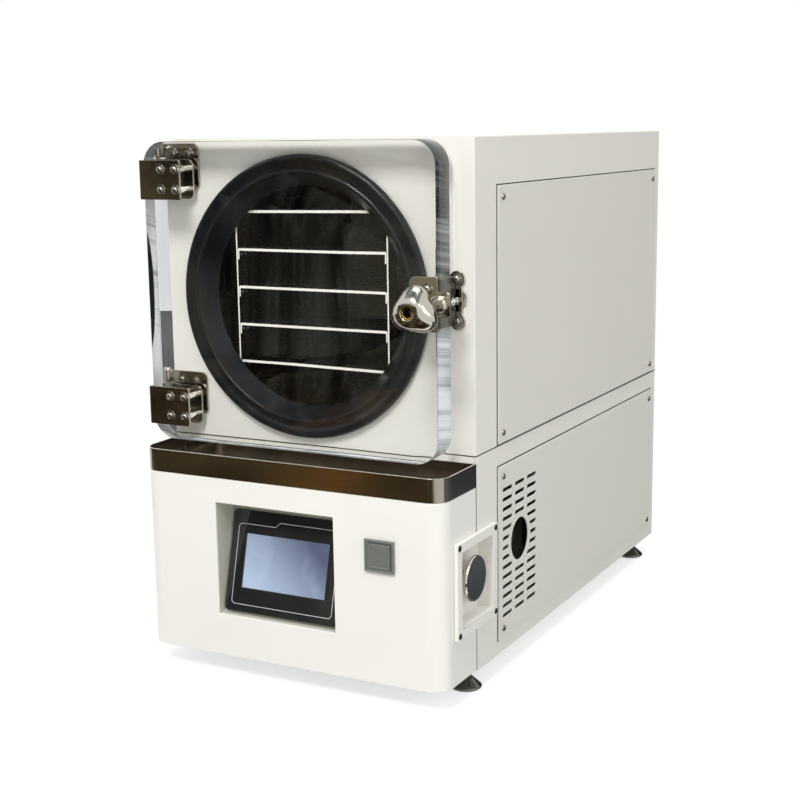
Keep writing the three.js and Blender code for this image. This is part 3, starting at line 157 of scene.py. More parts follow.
class NodeBench:
    """Lays out nodes in one tree and joins their sockets."""

    def __init__(self, tree: bpy.types.NodeTree) -> None:
        """Take the tree to work on."""
        self.tree = tree

    @staticmethod
    def socket(sockets: Iterable, key: int | str) -> Socket:
        """Find a socket by its number, its identifier or its name.

        Args:
            sockets: A node's inputs or outputs.
            key: What to look for.

        Returns:
            The socket.
        """
        if isinstance(key, int):
            return sockets[key]
        for socket in sockets:
            if socket.identifier == key:
                return socket
        return sockets[key]

    def add(self, kind: str, inputs: dict | None = None, **settings: object) -> bpy.types.Node:
        """Add a node, set its options, then fill or join its inputs.

        Args:
            kind: The node's type.
            inputs: A value, or a socket to join, for each named input.
            **settings: Options of the node itself.

        Returns:
            The new node.
        """
        node = self.tree.nodes.new(kind)
        for name, value in settings.items():
            setattr(node, name, value)
        for key, value in (inputs or {}).items():
            self.feed(self.socket(node.inputs, key), value)
        return node

    def feed(self, socket: Socket, value: object) -> None:
        """Join a socket to another one, or give it a value.

        Args:
            socket: The input to fill.
            value: An output socket, or a plain value.
        """
        if isinstance(value, Socket):
            self.tree.links.new(value, socket)
        else:
            socket.default_value = value

    def maths(self, operation: str, *values: object) -> Socket:
        """Add a Math node, such as "DIVIDE", with its inputs in order."""
        return self.add("ShaderNodeMath", dict(enumerate(values)), operation=operation).outputs[0]

    def plus(self, one: object, two: object) -> Socket:
        """Add two values."""
        return self.maths("ADD", one, two)

    def minus(self, one: object, two: object) -> Socket:
        """Take the second value from the first."""
        return self.maths("SUBTRACT", one, two)

    def times(self, one: object, two: object) -> Socket:
        """Multiply two values."""
        return self.maths("MULTIPLY", one, two)

    def spread(self, value: Socket, low: float, high: float, to_low: float = 0.0,
               to_high: float = 1.0) -> Socket:
        """Map a value from one range to another with a Map Range node."""
        return self.add("ShaderNodeMapRange", {0: value, 1: low, 2: high, 3: to_low,
                                               4: to_high}).outputs[0]

    def vector(self, x: object = 0.0, y: object = 0.0, z: object = 0.0) -> Socket:
        """Join three values to a vector."""
        return self.add("ShaderNodeCombineXYZ", {"X": x, "Y": y, "Z": z}).outputs[0]

    def noise(self, place: Socket, scale: object, detail: float, roughness: float = 0.5,
              distortion: float = 0.0) -> Socket:
        """Add a Noise Texture node.

        Args:
            place: Where the pattern is read.
            scale: How fine it is.
            detail: How many finer layers it has.
            roughness: How strong the finer layers are.
            distortion: How far it is warped.

        Returns:
            The pattern's value.
        """
        return self.add("ShaderNodeTexNoise", {
            "Vector": place, "Scale": scale, "Detail": detail, "Roughness": roughness,
            "Distortion": distortion}).outputs[0]

    def blend(self, share: Socket, one: Colour, two: Colour) -> Socket:
        """Mix two colours by the second one's share."""
        mix = self.add("ShaderNodeMix", {"Factor_Float": share, "A_Color": one, "B_Color": two},
                       data_type="RGBA")
        return self.socket(mix.outputs, "Result_Color")

    def ramp(self, value: Socket, stops: Sequence[tuple[float, str]]) -> Socket:
        """Add a Color Ramp node.

        Args:
            value: What picks the colour.
            stops: Position and colour of each stop, from low to high.

        Returns:
            The colour.
        """
        node = self.add("ShaderNodeValToRGB", {0: value})
        elements = node.color_ramp.elements
        first, *between, last = stops
        for i, (position, code) in enumerate((first, last)):
            elements[i].position, elements[i].color = position, tint(code)
        for position, code in between:
            elements.new(position).color = tint(code)
        return node.outputs[0]

    def rays(self, *kinds: str) -> Socket:
        """Find where the ray is one of some kinds.

        Args:
            *kinds: The kinds, such as "Camera".

        Returns:
            1 for those rays and 0 for all others.
        """
        path = self.add("ShaderNodeLightPath")
        found = path.outputs[f"Is {kinds[-1]} Ray"]
        for kind in reversed(kinds[:-1]):
            found = self.maths("MAXIMUM", path.outputs[f"Is {kind} Ray"], found)
        return found

    def cylinder(self, facets: int, radius: Socket, length: Socket) -> Socket:
        """Add a Cylinder node."""
        return self.add("GeometryNodeMeshCylinder", {
            "Vertices": facets, "Radius": radius, "Depth": length}).outputs["Mesh"]

    def moved(self, shape: Socket, **how: object) -> Socket:
        """Add a Transform Geometry node."""
        return self.add("GeometryNodeTransform", {"Geometry": shape, **how}).outputs[0]

    def cut(self, shape: Socket, tool: Socket) -> Socket:
        """Cut one mesh out of another."""
        return self.add("GeometryNodeMeshBoolean", {"Mesh 1": shape, "Mesh 2": tool},
                        operation="DIFFERENCE", solver="EXACT").outputs[0]

    def towards(self, facing: Socket) -> Socket:
        """Turn from facing up to another way."""
        return self.add("FunctionNodeAlignRotationToVector", {"Vector": facing},
                        axis="Z").outputs[0]

    def on_points(self, points: Socket, shape: Socket, **how: object) -> Socket:
        """Set a shape on every point."""
        return self.add("GeometryNodeInstanceOnPoints", {
            "Points": points, "Instance": shape, **how}).outputs[0]


Draw = Callable[[NodeBench, Sequence], object]


def blank_material(name: str) -> tuple[Material, NodeBench]:
    """Make a material with an empty node tree.

    Args:
        name: The material's name.

    Returns:
        The material and the bench of its tree.
    """
    material = bpy.data.materials.new(name)
    material.use_nodes = True
    material.node_tree.nodes.clear()
    return material, NodeBench(material.node_tree)


class Effect:
    """A surface effect as a shader node group with named inputs and outputs."""

    made: dict[str, bpy.types.NodeTree] = {}

    def __init__(self, name: str, inputs: dict[str, object], outputs: Sequence[str],
                 draw: Draw) -> None:
        """Build the group.

        Args:
            name: The group's name.
            inputs: Each input's name and its first value; a tuple makes a vector.
            outputs: Names of the values that it puts out.
            draw: Lays the nodes; takes the bench and the inputs, gives the outputs.
        """
        tree = bpy.data.node_groups.new(name, "ShaderNodeTree")
        add = tree.interface.new_socket
        for label, value in inputs.items():
            kind = "NodeSocketVector" if isinstance(value, tuple) else "NodeSocketFloat"
            add(name=label, in_out="INPUT", socket_type=kind).default_value = value
        for label in outputs:
            add(name=label, in_out="OUTPUT", socket_type="NodeSocketFloat")
        bench = NodeBench(tree)
        results = draw(bench, bench.add("NodeGroupInput").outputs)
        bench.add("NodeGroupOutput", dict(enumerate(results)))
        self.made[name] = tree


def draw_stipple(bench: NodeBench, inputs: Sequence) -> Sequence:
    """Lay the nodes of a sprayed or moulded grain.

    Args:
        bench: The group's bench.
        inputs: Place and Size.

    Returns:
        Height of the grain, and a slow Mottle over the surface.
    """
    place, coarseness, grain_share = inputs["Place"], 0.38, 0.6
    fine = bench.maths("DIVIDE", 1.0, inputs["Size"])
    grain = bench.noise(place, fine, detail=2.0, roughness=0.6)
    swell = bench.noise(place, bench.times(fine, coarseness), detail=1.0)
    slow = bench.noise(place, 7.0, detail=3.0, roughness=0.55)
    height = bench.plus(bench.times(grain, grain_share), bench.times(swell, 1 - grain_share))
    return [height, bench.spread(slow, 0.3, 0.7)]


def draw_polish(bench: NodeBench, inputs: Sequence) -> Sequence:
    """Lay the nodes of polishing or brushing marks that run one way.

    Args:
        bench: The group's bench.
        inputs: Place, and Run, the marks' frequency along X, Y and Z.

    Returns:
        Height of the marks, Haze where they dull the surface, and slow Ripple.
    """
    place = inputs["Place"]
    laid = bench.add("ShaderNodeVectorMath", {0: place, 1: inputs["Run"]},
                     operation="MULTIPLY").outputs[0]
    marks = bench.noise(laid, 1.0, detail=4.0, roughness=0.62)
    smear = bench.noise(place, 38.0, detail=3.0, roughness=0.6)
    haze = bench.times(bench.spread(marks, 0.35, 0.75), bench.spread(smear, 0.3, 0.7, 0.2))
    return [marks, haze, bench.noise(place, 24.0, detail=0.0)]


def draw_handling(bench: NodeBench, inputs: Sequence) -> Sequence:
    """Lay the nodes of fingerprints and wipe marks.

    Args:
        bench: The group's bench.
        inputs: Place and Amount.

    Returns:
        Smear, broad wiped patches.
    """
    broad = bench.noise(inputs["Place"], 16.0, detail=5.0, roughness=0.65, distortion=0.8)
    return [bench.times(bench.spread(broad, 0.45, 0.72), inputs["Amount"])]


def build_effects() -> None:
    """Build the effects that several finishes share."""
    Effect("stipple", {"Place": ORIGIN, "Size": 0.001}, ["Height", "Mottle"], draw_stipple)
    Effect("polish", {"Place": ORIGIN, "Run": (600.0, 600.0, 40.0)}, ["Height", "Haze", "Ripple"],
           draw_polish)
    Effect("handling", {"Place": ORIGIN, "Amount": 1.0}, ["Smear"], draw_handling)


# ---------------------------------------------------------------- finishes


class Run(Enum):
    """Which way polishing marks run, as their frequency along X, Y and Z."""

    ACROSS = (30.0, 900.0, 900.0)
    INWARD = (900.0, 30.0, 900.0)
    CAST = (160.0, 160.0, 160.0)


@dataclass(frozen=True)
class Finish:
    """A surface finish: its name, its colour and how rough it is."""

    name: str
    colour: str
    roughness: float

    def mix(self) -> Material:
        """Mix the material; each kind of finish has its own way."""
        raise NotImplementedError


class Mixture(NodeBench):
    """A material being mixed: its nodes, its shader and its place over the surface."""

    def __init__(self, finish: Finish, more: dict[str, float] | None = None) -> None:
        """Start with the finish's plain colour and roughness.

        Args:
            finish: The finish.
            more: Further values of the shader.
        """
        self.finish = finish
        self.material, bench = blank_material(finish.name)
        super().__init__(bench.tree)
        self.shader = self.add("ShaderNodeBsdfPrincipled", {
            "Base Color": tint(finish.colour), "Roughness": finish.roughness, **(more or {})})
        self.output = self.add("ShaderNodeOutputMaterial", {"Surface": self.shader.outputs[0]})
        self.place = self.add("ShaderNodeTexCoord").outputs["Object"]

    def fill(self, name: str, value: object) -> None:
        """Fill or join one of the shader's inputs."""
        self.feed(self.shader.inputs[name], value)

    def effect(self, name: str, **inputs: object) -> Sequence:
        """Lay a built effect over the surface and give its outputs."""
        return self.add("ShaderNodeGroup", {"Place": self.place, **inputs},
                        node_tree=Effect.made[name]).outputs

    def shade(self, mask: Socket, low: float, high: float) -> None:
        """Let a mask make the colour darker or lighter.

        Args:
            mask: Where the change is, from 0 to 1.
            low: How bright the colour is where the mask is 0.
            high: How bright it is where the mask is 1.
        """
        parts = tint(self.finish.colour)[:3]
        dark, light = ((*(part * bright for part in parts), 1.0) for bright in (low, high))
        self.fill("Base Color", self.blend(mask, dark, light))

    def roughen(self, mask: Socket, more: float) -> None:
        """Let a mask make the surface rougher, by up to an amount."""
        smooth = self.finish.roughness
        self.fill("Roughness", self.spread(mask, 0.0, 1.0, smooth, smooth + more))

    def emboss(self, height: Socket, depth: float) -> None:
        """Raise a height pattern on the surface, up to a depth."""
        inputs = {"Strength": 1.0, "Distance": depth, "Height": height}
        self.fill("Normal", self.add("ShaderNodeBump", inputs).outputs[0])


@dataclass(frozen=True)
class PowderCoat(Finish):
    """Baked powder paint with a fine stipple."""

    grain: float = 0.0016
    depth: float = 0.00007
    smoother: float = 0.05
    rougher: float = 0.07

    def mix(self) -> Material:
        """Mix the paint.

        Returns:
            The material.
        """
        bench = Mixture(self)
        stipple = bench.effect("stipple", Size=self.grain)
        bench.shade(stipple["Mottle"], 0.975, 1.0)
        rough = bench.spread(stipple["Height"], 0.3, 0.7, self.roughness + self.rougher,
                             self.roughness - self.smoother)
        bench.fill("Roughness", rough)
        bench.emboss(stipple["Height"], self.depth)
        return bench.material


@dataclass(frozen=True)
class BareMetal(Finish):
    """Polished, brushed or plated metal."""

    run: Run = Run.CAST
    haze: float = 0.12
    depth: float = 0.000004
    ripple: float = 0.00012
    handled: float = 0.6

    def mix(self) -> Material:
        """Polish the metal.

        Returns:
            The material.
        """
        bench = Mixture(self, {"Metallic": 1.0})
        polish = bench.effect("polish", Run=self.run.value)
        marks = bench.effect("handling", Amount=self.handled)
        bench.shade(polish["Haze"], 1.0, 0.9)
        dull = bench.plus(polish["Haze"], bench.times(marks["Smear"], 0.5))
        bench.roughen(dull, self.haze)
        ripple = bench.times(polish["Ripple"], self.ripple / self.depth)
        bench.emboss(bench.plus(polish["Height"], ripple), self.depth)
        return bench.material


@dataclass(frozen=True)
class Moulded(Finish):
    """Moulded rubber, plastic or foam."""

    grain: float = 0.0008
    depth: float = 0.00002
    coat: float = 0.0
    gloss: float = 0.5
    handled: float = 0.5
    wear: float = 0.12

    def mix(self) -> Material:
        """Mould the material.

        Returns:
            The material.
        """
        bench = Mixture(self, {
            "Specular IOR Level": self.gloss, "Coat Weight": self.coat, "Coat Roughness": 0.06})
        stipple = bench.effect("stipple", Size=self.grain)
        marks = bench.effect("handling", Amount=self.handled)
        worn = bench.plus(bench.times(stipple["Mottle"], 0.5), marks["Smear"])
        bench.shade(worn, 0.9, 1.25)
        bench.roughen(worn, self.wear)
        bench.emboss(stipple["Height"], self.depth)
        return bench.material


@dataclass(frozen=True)
class EdgeHighlight(Finish):
    """Satin cut edge of an anodised plate, painted near white as a painted highlight."""

    depth: float = 0.00001

    def mix(self) -> Material:
        """Paint the edge's highlight.

        Returns:
            The material.
        """
        bench = Mixture(self)
        polish = bench.effect("polish", Run=Run.INWARD.value)
        bench.shade(polish["Haze"], 1.0, 0.88)
        bench.emboss(polish["Height"], self.depth)
        return bench.material


@dataclass(frozen=True)
class PolishedEdge(Finish):
    """Flame-polished acrylic edge whose colour is painted light: bands of painted piped light and
    reflection, with painted shade that makes it darker towards its rounded top, away from the
    hinges, and painted light towards its foot.

    The edge next to the hinges is painted lighter and carries a painted reflection of the gasket's
    dark shade. Each step is two depths below the crown and how much the tone changes from the first
    depth to the second.
    """

    # The bands are painted piped light and reflection; darker lowers their whole tone.
    band: float = 24.0
    slant: float = 0.16
    draw_out: float = 0.6
    slow: float = 0.34
    darker: float = 0.14
    crown: float = 0.0
    # Painted shade: the edge is darker below the crown, away from the hinge side.
    top_shade_steps: tuple[Step, Step] = ((mm(46), mm(14), 0.16), (mm(190), mm(150), 0.11))
    # Painted light: the edge is lighter towards its foot.
    painted_foot_light: Step = (mm(200), mm(300), 0.07)
    hinge_side: float = 0.0
    hinge_flat: Point = (mm(1), mm(2))
    hinge_corner: Point = (mm(60), mm(90))
    # Painted light: the edge next to the hinges is lighter.
    hinge_side_light: float = 0.1
    # Place and size of the painted reflection of the gasket's dark shade.
    shade_centre: Point = (0.0, 0.0)
    shade_size: Point = (mm(20), mm(68))

    def tones(self) -> list[tuple[float, str]]:
        """Give the bands' colours, up to the edge's own: painted piped light and reflection, from
        dark to light.
        """
        return [(0.30, "24282A"), (0.36, "4A4F50"), (0.44, "7D807D"), (0.50, "9DA09B"),
                (0.55, "B9C0C2"), (0.60, "D5DCE0"), (0.66, self.colour)]

    def mix(self) -> Material:
        """Polish the edge.

        Returns:
            The material.
        """
        bench = Mixture(self, {"Specular IOR Level": 0.0, "Coat Roughness": 0.03})
        parts = bench.add("ShaderNodeSeparateXYZ", {0: bench.place})
        x, y, z = (parts.outputs[axis] for axis in "XYZ")
        leaned = bench.plus(z, bench.times(y, self.slant))
        line = bench.vector(x=bench.times(x, self.draw_out), z=leaned)
        slow = bench.noise(bench.place, 7.0, detail=1.0, distortion=1.0)
        bands = bench.noise(line, self.band, detail=7.0, roughness=0.78)
        tone = bench.minus(bench.plus(bands, bench.times(slow, self.slow)), self.darker)
        # Painted shade below the crown, faded out towards the hinge side.
        crown = bench.times(
            bench.plus(*(self.step(bench, z, step) for step in self.top_shade_steps)),
            bench.spread(x, *(self.hinge_side + inset for inset in self.hinge_corner)))
        # Painted light towards the foot.
        tone = bench.plus(bench.minus(tone, crown), self.step(bench, z, self.painted_foot_light))
        # Painted reflection of the gasket: dark, with no coat.
        shaded = self.painted_gasket_reflection(bench, x, y, z)
        bench.fill("Coat Weight", bench.minus(1.0, shaded))
        # Painted light on the hinge side, less the painted reflection of the gasket.
        tone = bench.minus(bench.plus(tone, self.on_hinge_side(bench, x, self.hinge_side_light)), shaded)
        # The edge's colour is painted light: the tone picks painted bands of piped light and
        # reflection.
        bench.fill("Base Color", bench.ramp(tone, self.tones()))
        return bench.material

    def step(self, bench: NodeBench, z: Socket, step: Step) -> Socket:
        """Lay the node of a slow change in the painted light and shade below the crown."""
        start, end, change = step
        return bench.spread(z, self.crown - start, self.crown - end, 0.0, change)

    def on_hinge_side(self, bench: NodeBench, x: Socket, amount: float) -> Socket:
        """Lay the node of a value that only the edge next to the hinges has."""
        start, end = (self.hinge_side + inset for inset in self.hinge_flat)
        return bench.spread(x, start, end, amount, 0.0)

    def painted_gasket_reflection(self, bench: NodeBench, x: Socket, y: Socket, z: Socket) -> Socket:
        """Lay the nodes of the gasket's rounded dark shade, painted on the hinge side as a painted
        reflection.

        Args:
            bench: The material's bench.
            x: Place across.
            y: Place inwards.
            z: Place up.

        Returns:
            How much darker the edge is.
        """
        over = [bench.maths("DIVIDE", bench.minus(value, middle), reach)
                for value, middle, reach in zip((y, z), self.shade_centre, self.shade_size)]
        out = bench.plus(*(bench.times(part, part) for part in over))
        inside = bench.spread(out, 0.8, 1.1, 1.0, 0.0)
        return bench.times(inside, self.on_hinge_side(bench, x, 1.0))


@dataclass(frozen=True)
class CastAcrylic(Finish):
    """Thick clear acrylic that lets light through to what lies behind."""

    refraction: float = 1.49

    def mix(self) -> Material:
        """Cast the acrylic.

        Returns:
            The material.
        """
        bench = Mixture(self, {"Transmission Weight": 1.0, "IOR": self.refraction})
        clear = bench.add("ShaderNodeBsdfTransparent", {"Color": tint(self.colour)})
        blend = bench.add("ShaderNodeMixShader", {
            0: bench.rays("Shadow", "Diffuse"), 1: bench.shader.outputs[0], 2: clear.outputs[0]})
        bench.feed(bench.output.inputs["Surface"], blend.outputs[0])
        return bench.material


@dataclass(frozen=True)
class DisplayGlass(Finish):
    """Unlit display glass with a painted reflection, light towards the lower left and dim towards
    the upper right, and wipe marks.
    """

    dim_reflection_colour: str = "5A6480"
    centre: Place = ORIGIN
    lean: Point = (0.75, 0.9)
    reflection_fade: Point = (-mm(56.5), mm(47.46))
    wiped: float = 0.3
    wear: float = 0.2

    def mix(self) -> Material:
        """Lay the glass.

        Returns:
            The material.
        """
        bench = Mixture(self, {"Coat Weight": 1.0, "Coat Roughness": 0.04})
        local = bench.add("ShaderNodeMapping", {
            "Vector": bench.place, "Location": tuple(-c for c in self.centre)}).outputs[0]
        parts = bench.add("ShaderNodeSeparateXYZ", {0: local}).outputs
        # Painted reflection: the slope across the glass picks the colour from light to dim.
        slope = bench.plus(bench.times(parts["X"], self.lean[0]),
                           bench.times(parts["Z"], self.lean[1]))
        marks = bench.effect("handling", Amount=1.0)
        reflection_share = bench.minus(bench.spread(slope, *self.reflection_fade),
                            bench.times(marks["Smear"], self.wiped))
        colour = bench.blend(reflection_share, tint(self.colour), tint(self.dim_reflection_colour))
        bench.fill("Base Color", colour)
        bench.roughen(marks["Smear"], self.wear)
        return bench.material


class Coat(Enum):
    """The finishes that the pieces take."""

    CABINET = PowderCoat("powder_coat_cabinet", "F1EFE6", 0.46)
    PANEL = PowderCoat("powder_coat_panel", "E9E7DE", 0.46, grain=0.0015, depth=0.0001)
    FASCIA = PowderCoat("fascia_paint", "F5F3EC", 0.38, grain=0.0024, depth=0.00003)
    # Painted shade: the pocket's paint is darker than the fascia's, as the recess lies in shade.
    SHADED_POCKET = PowderCoat("pocket_paint_painted_shade", "D6D4C6", 0.42, grain=0.0024, depth=0.00003)
    DARK_STEEL = PowderCoat("black_enamel", "202225", 0.35, grain=0.003)
    TROUGH = BareMetal("polished_trough", "A79F92", 0.12, run=Run.ACROSS, ripple=0.0002)
    STAINLESS = BareMetal("brushed_stainless", "9A958D", 0.2, run=Run.INWARD, haze=0.16)
    DRUM = BareMetal("drum_wall", "8A8178", 0.2, haze=0.16, depth=0.000002, ripple=0.0008)
    HARDWARE = BareMetal("polished_hardware", "B5AEA1", 0.09, haze=0.14, ripple=0.0003)
    CHROME = BareMetal("bright_chrome", "D3CEC6", 0.05, haze=0.08, ripple=0.0002)
    CAST_CHROME = BareMetal("cast_chrome", "C2BEB2", 0.07, haze=0.2, ripple=0.0016)
    # Dark chrome for the feet; on the latch bracket's right-facing faces it is painted shade.
    DARK_CHROME_AND_SHADE = BareMetal("dark_chrome_and_painted_shade", "6A6864", 0.12, ripple=0.0002)
    BRASS = BareMetal("brass_bush", "A9854A", 0.18, haze=0.1)
    SCREW = BareMetal("plated_screw", "9B978E", 0.16, haze=0.15)
    DARK_SCREW = BareMetal("blackened_screw", "4B4946", 0.28, haze=0.2)
    ZINC = BareMetal("zinc_plate", "9EA0A3", 0.36, run=Run.ACROSS, haze=0.25)
    COPPER = BareMetal("copper_tube", "B8703F", 0.25, haze=0.25)
    RUBBER = Moulded("gasket_rubber", "080C13", 0.26, grain=0.0006, depth=0.000005, gloss=0.3)
    GLOSS_BLACK = Moulded("gloss_black_panel", "17191B", 0.12, grain=0.004, depth=0.000002,
                          coat=1.0)
    # Black plastic for the fan, the inlet and the drain; inside the knob's bore it is painted
    # shade.
    BLACK_PLASTIC_AND_SHADE = Moulded("black_plastic", "141416", 0.45)
    # Foam for the seals and the jacket; round the side panels it is a painted shadow gap.
    FOAM_AND_SHADE = Moulded("closed_cell_foam_and_painted_shade", "303234", 0.85, grain=0.002, depth=0.0003)
    SATIN_SILVER = Moulded("satin_silver_key", "73746E", 0.3, grain=0.0006, depth=0.000006,
                           coat=0.4)
    PRINT = Moulded("white_print", "E8E8E8", 0.5)
    # Painted highlight on the shelves' and rack sides' front edges and on the trough's rim.
    EDGE = EdgeHighlight("painted_edge_highlight", "FFFCF2", 0.5)
    ACRYLIC = CastAcrylic("cast_acrylic", "FFFFFF", 0.0)


class Paintshop:
    """Mixes each finish once and hands it out."""

    def __init__(self) -> None:
        """Start with no finish mixed."""
        self.mixed: dict[str, Material] = {}

    def get(self, coat: Coat | Finish) -> Material:
        """Give the material of a finish.

        Args:
            coat: One of the named finishes, or a finish of its own.

        Returns:
            The mixed material.
        """
        finish = coat.value if isinstance(coat, Coat) else coat
        if finish.name not in self.mixed:
            self.mixed[finish.name] = finish.mix()
        return self.mixed[finish.name]


# ---------------------------------------------------------------- mesh making


@dataclass(frozen=True)
class Easing:
    """How far and how smoothly the edges of a plate are eased."""

    width: float = mm(0.5)
    segments: int = 2
    limit: float = 38.0
    smooth: float = SMOOTH


def smooth_by_angle(mesh: Mesh, degrees: float) -> None:
    """Shade a mesh smooth except at edges sharper than an angle in degrees."""
    mesh.shade_smooth()
    mesh.set_sharp_from_angle(angle=math.radians(degrees))


def new_object(name: str, mesh: Mesh, *materials: Material) -> Object:
    """Put a mesh into the scene.

    Args:
        name: The object's name.
        mesh: Its mesh.
        *materials: The materials of its slots.

    Returns:
        The object, at the origin.
    """
    piece = bpy.data.objects.new(name, mesh)
    for material in materials:
        mesh.materials.append(material)
    bpy.context.scene.collection.objects.link(piece)
    return piece


def bake_modifiers(piece: Object) -> None:
    """Turn a piece with modifiers into a plain mesh.

    Args:
        piece: The piece; its modifiers are removed.
    """
    graph = bpy.context.evaluated_depsgraph_get()
    mesh = bpy.data.meshes.new_from_object(piece.evaluated_get(graph))
    piece.modifiers.clear()
    piece.data = mesh


def eased(name: str, mesh: Mesh, easing: Easing, *materials: Material) -> Object:
    """Make a piece with eased edges from a sharp mesh.

    Args:
        name: The piece's name.
        mesh: A closed mesh with sharp edges.
        easing: How the edges are eased.
        *materials: The materials of its slots.

    Returns:
        The piece as a plain mesh.
    """
    smooth_by_angle(mesh, easing.smooth)
    piece = new_object(name, mesh, *materials)
    if easing.width > 0:
        bevel = piece.modifiers.new("eased", "BEVEL")
        bevel.width = easing.width
        bevel.segments = easing.segments
        bevel.limit_method = "ANGLE"
        bevel.angle_limit = math.radians(easing.limit)
        bevel.use_clamp_overlap = False
        bevel.miter_outer = "MITER_ARC"
        piece.modifiers.new("even", "WEIGHTED_NORMAL").keep_sharp = True
        bake_modifiers(piece)
    return piece


def copy_of(node: str, merge: float = mm(0.004), flat: float = 0.4) -> Shape:
    """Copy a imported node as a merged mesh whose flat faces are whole.

    Args:
        node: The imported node's name.
        merge: How close corners are that become one.
        flat: The sharpest edge that is taken out of a flat face, in degrees.

    Returns:
        The copy, ready to be changed.
    """
    copy = bmesh.new()
    copy.from_mesh(frame["nodes"][node].data)
    bmesh.ops.remove_doubles(copy, verts=copy.verts, dist=merge)
    bmesh.ops.dissolve_limit(copy, angle_limit=math.radians(flat), verts=copy.verts,
                             edges=copy.edges, delimit={"NORMAL"})
    return copy


def to_mesh(name: str, shape: Shape) -> Mesh:
    """Turn an edited shape into a mesh and free it.

    Args:
        name: The mesh's name.
        shape: The edited shape.

    Returns:
        The mesh.
    """
    mesh = bpy.data.meshes.new(name)
    shape.to_mesh(mesh)
    shape.free()
    return mesh


def second_finish(shape: Shape, facing: Facing, depth: float = math.inf) -> None:
    """Give the faces that look one way the second finish.

    Args:
        shape: The shape.
        facing: Which way the faces look.
        depth: How far behind the outermost corner they may lie.
    """
    out, square_on = Vector(facing.value), 0.9
    limit = max(v.co.dot(out) for v in shape.verts) - depth
    for face in shape.faces:
        if face.normal.dot(out) > square_on and face.calc_center_median().dot(out) > limit:
            face.material_index = 1


def join_rings(shape: Shape, one: Sequence, two: Sequence) -> None:
    """Join two rings of corners with faces.

    Args:
        shape: The shape that the corners are in.
        one: The first ring.
        two: The second ring, with as many corners.
    """
    for i in range(len(one)):
        j = (i + 1) % len(one)
        shape.faces.new([one[i], one[j], two[j], two[i]])


def skin(shape: Shape, rings: Sequence[Sequence], closed: bool) -> None:
    """Join rings of corners with faces, and cap the ends of an open row.

    Args:
        shape: The shape that the corners are in.
        rings: Rings with the same number of corners.
        closed: Whether the last ring joins the first.
    """
    pairs = list(zip(rings, rings[1:]))
    if closed:
        pairs.append((rings[-1], rings[0]))
    else:
        shape.faces.new(rings[0])
        shape.faces.new(rings[-1])
    for one, two in pairs:
        join_rings(shape, one, two)
    bmesh.ops.recalc_face_normals(shape, faces=shape.faces)


def turned(profile: Sequence[Point], origin: Vector, facets: int = 96) -> Shape:
    """Turn a profile about an axis that runs from front to back, as on a lathe.

    Args:
        profile: Radius and distance behind the origin at each corner; it starts and ends on
            the axis.
        origin: Where the axis starts.
        facets: Facets round the axis.

    Returns:
        The closed shape.
    """
    shape = bmesh.new()
    rings = []
    for radius, behind in profile:
        base = origin + Vector((0, behind, 0))
        turns = [math.tau * i / facets for i in range(facets)] if radius else [0.0]
        rings.append([shape.verts.new(base + Vector((math.sin(t), 0, math.cos(t))) * radius)
                      for t in turns])
    for one, two in zip(rings, rings[1:]):
        for i in range(facets):
            j = (i + 1) % facets
            around = ((one, i), (one, j), (two, j), (two, i))
            shape.faces.new(list(dict.fromkeys(ring[k % len(ring)] for ring, k in around)))
    bmesh.ops.recalc_face_normals(shape, faces=shape.faces)
    return shape


def square_rings(centre: Vector, facing: Facing, sections: Sequence[Place],
                 closed: bool) -> Shape:
    """Build a rectangular frame or key from its sections.

    Args:
        centre: The middle of the rectangle on the surface that it sits on.
        facing: Which way it faces.
        sections: Half width, half height and rise of each ring.
        closed: Whether the rings close to a frame.

    Returns:
        The closed shape.
    """
    out = Vector(facing.value)
    wide = Vector((0, 1, 0)) if facing in (Facing.RIGHT, Facing.LEFT) else Vector((1, 0, 0))
    up = Vector((0, 1, 0)) if facing is Facing.UP else Vector((0, 0, 1))
    shape = bmesh.new()
    rings = [[shape.verts.new(centre + wide * w * a + up * h * b + out * rise)
              for a, b in ((-1, -1), (1, -1), (1, 1), (-1, 1))] for w, h, rise in sections]
    skin(shape, rings, closed)
    return shape


def arc_points(radius: float, along: float, size: float, start: float, end: float,
               steps: int) -> list[Point]:
    """Give the corners of an arc in a profile.

    Args:
        radius: The arc's centre from the axis.
        along: The arc's centre along the axis.
        size: The arc's own radius.
        start: Where it starts, in degrees.
        end: Where it ends, in degrees.
        steps: How many straight steps it has.

    Returns:
        The corners in order.
    """
    turns = [math.radians(start + (end - start) * i / steps) for i in range(steps + 1)]
    return [(radius + size * math.cos(t), along + size * math.sin(t)) for t in turns]


def smooth_stations(stations: Sequence[Place], steps: int) -> list[Place]:
    """Run a smooth curve through stations.

    Args:
        stations: Values at each station.
        steps: How many steps there are from one station to the next.

    Returns:
        The values at every step.
    """
    rows = []
    last = len(stations) - 1
    for i in range(last):
        four = [stations[min(max(0, k), last)] for k in range(i - 1, i + 3)]
        for step in range(steps):
            t = step / steps
            rows.append(tuple(
                0.5 * (2 * b + (c - a) * t + (2 * a - 5 * b + 4 * c - d) * t * t
                       + (3 * b - a - 3 * c + d) * t ** 3)
                for a, b, c, d in zip(*four)))
    return [*rows, tuple(stations[-1])]


def points_mesh(name: str, points: Sequence[Vector], joined: bool = False) -> Mesh:
    """Make a mesh of points.

    Args:
        name: The mesh's name.
        points: Where the points are.
        joined: Whether a closed line runs through them in order.

    Returns:
        The mesh.
    """
    count = len(points)
    edges = [(i, (i + 1) % count) for i in range(count)] if joined else []
    mesh = bpy.data.meshes.new(name)
    mesh.from_pydata([tuple(p) for p in points], edges, [])
    return mesh


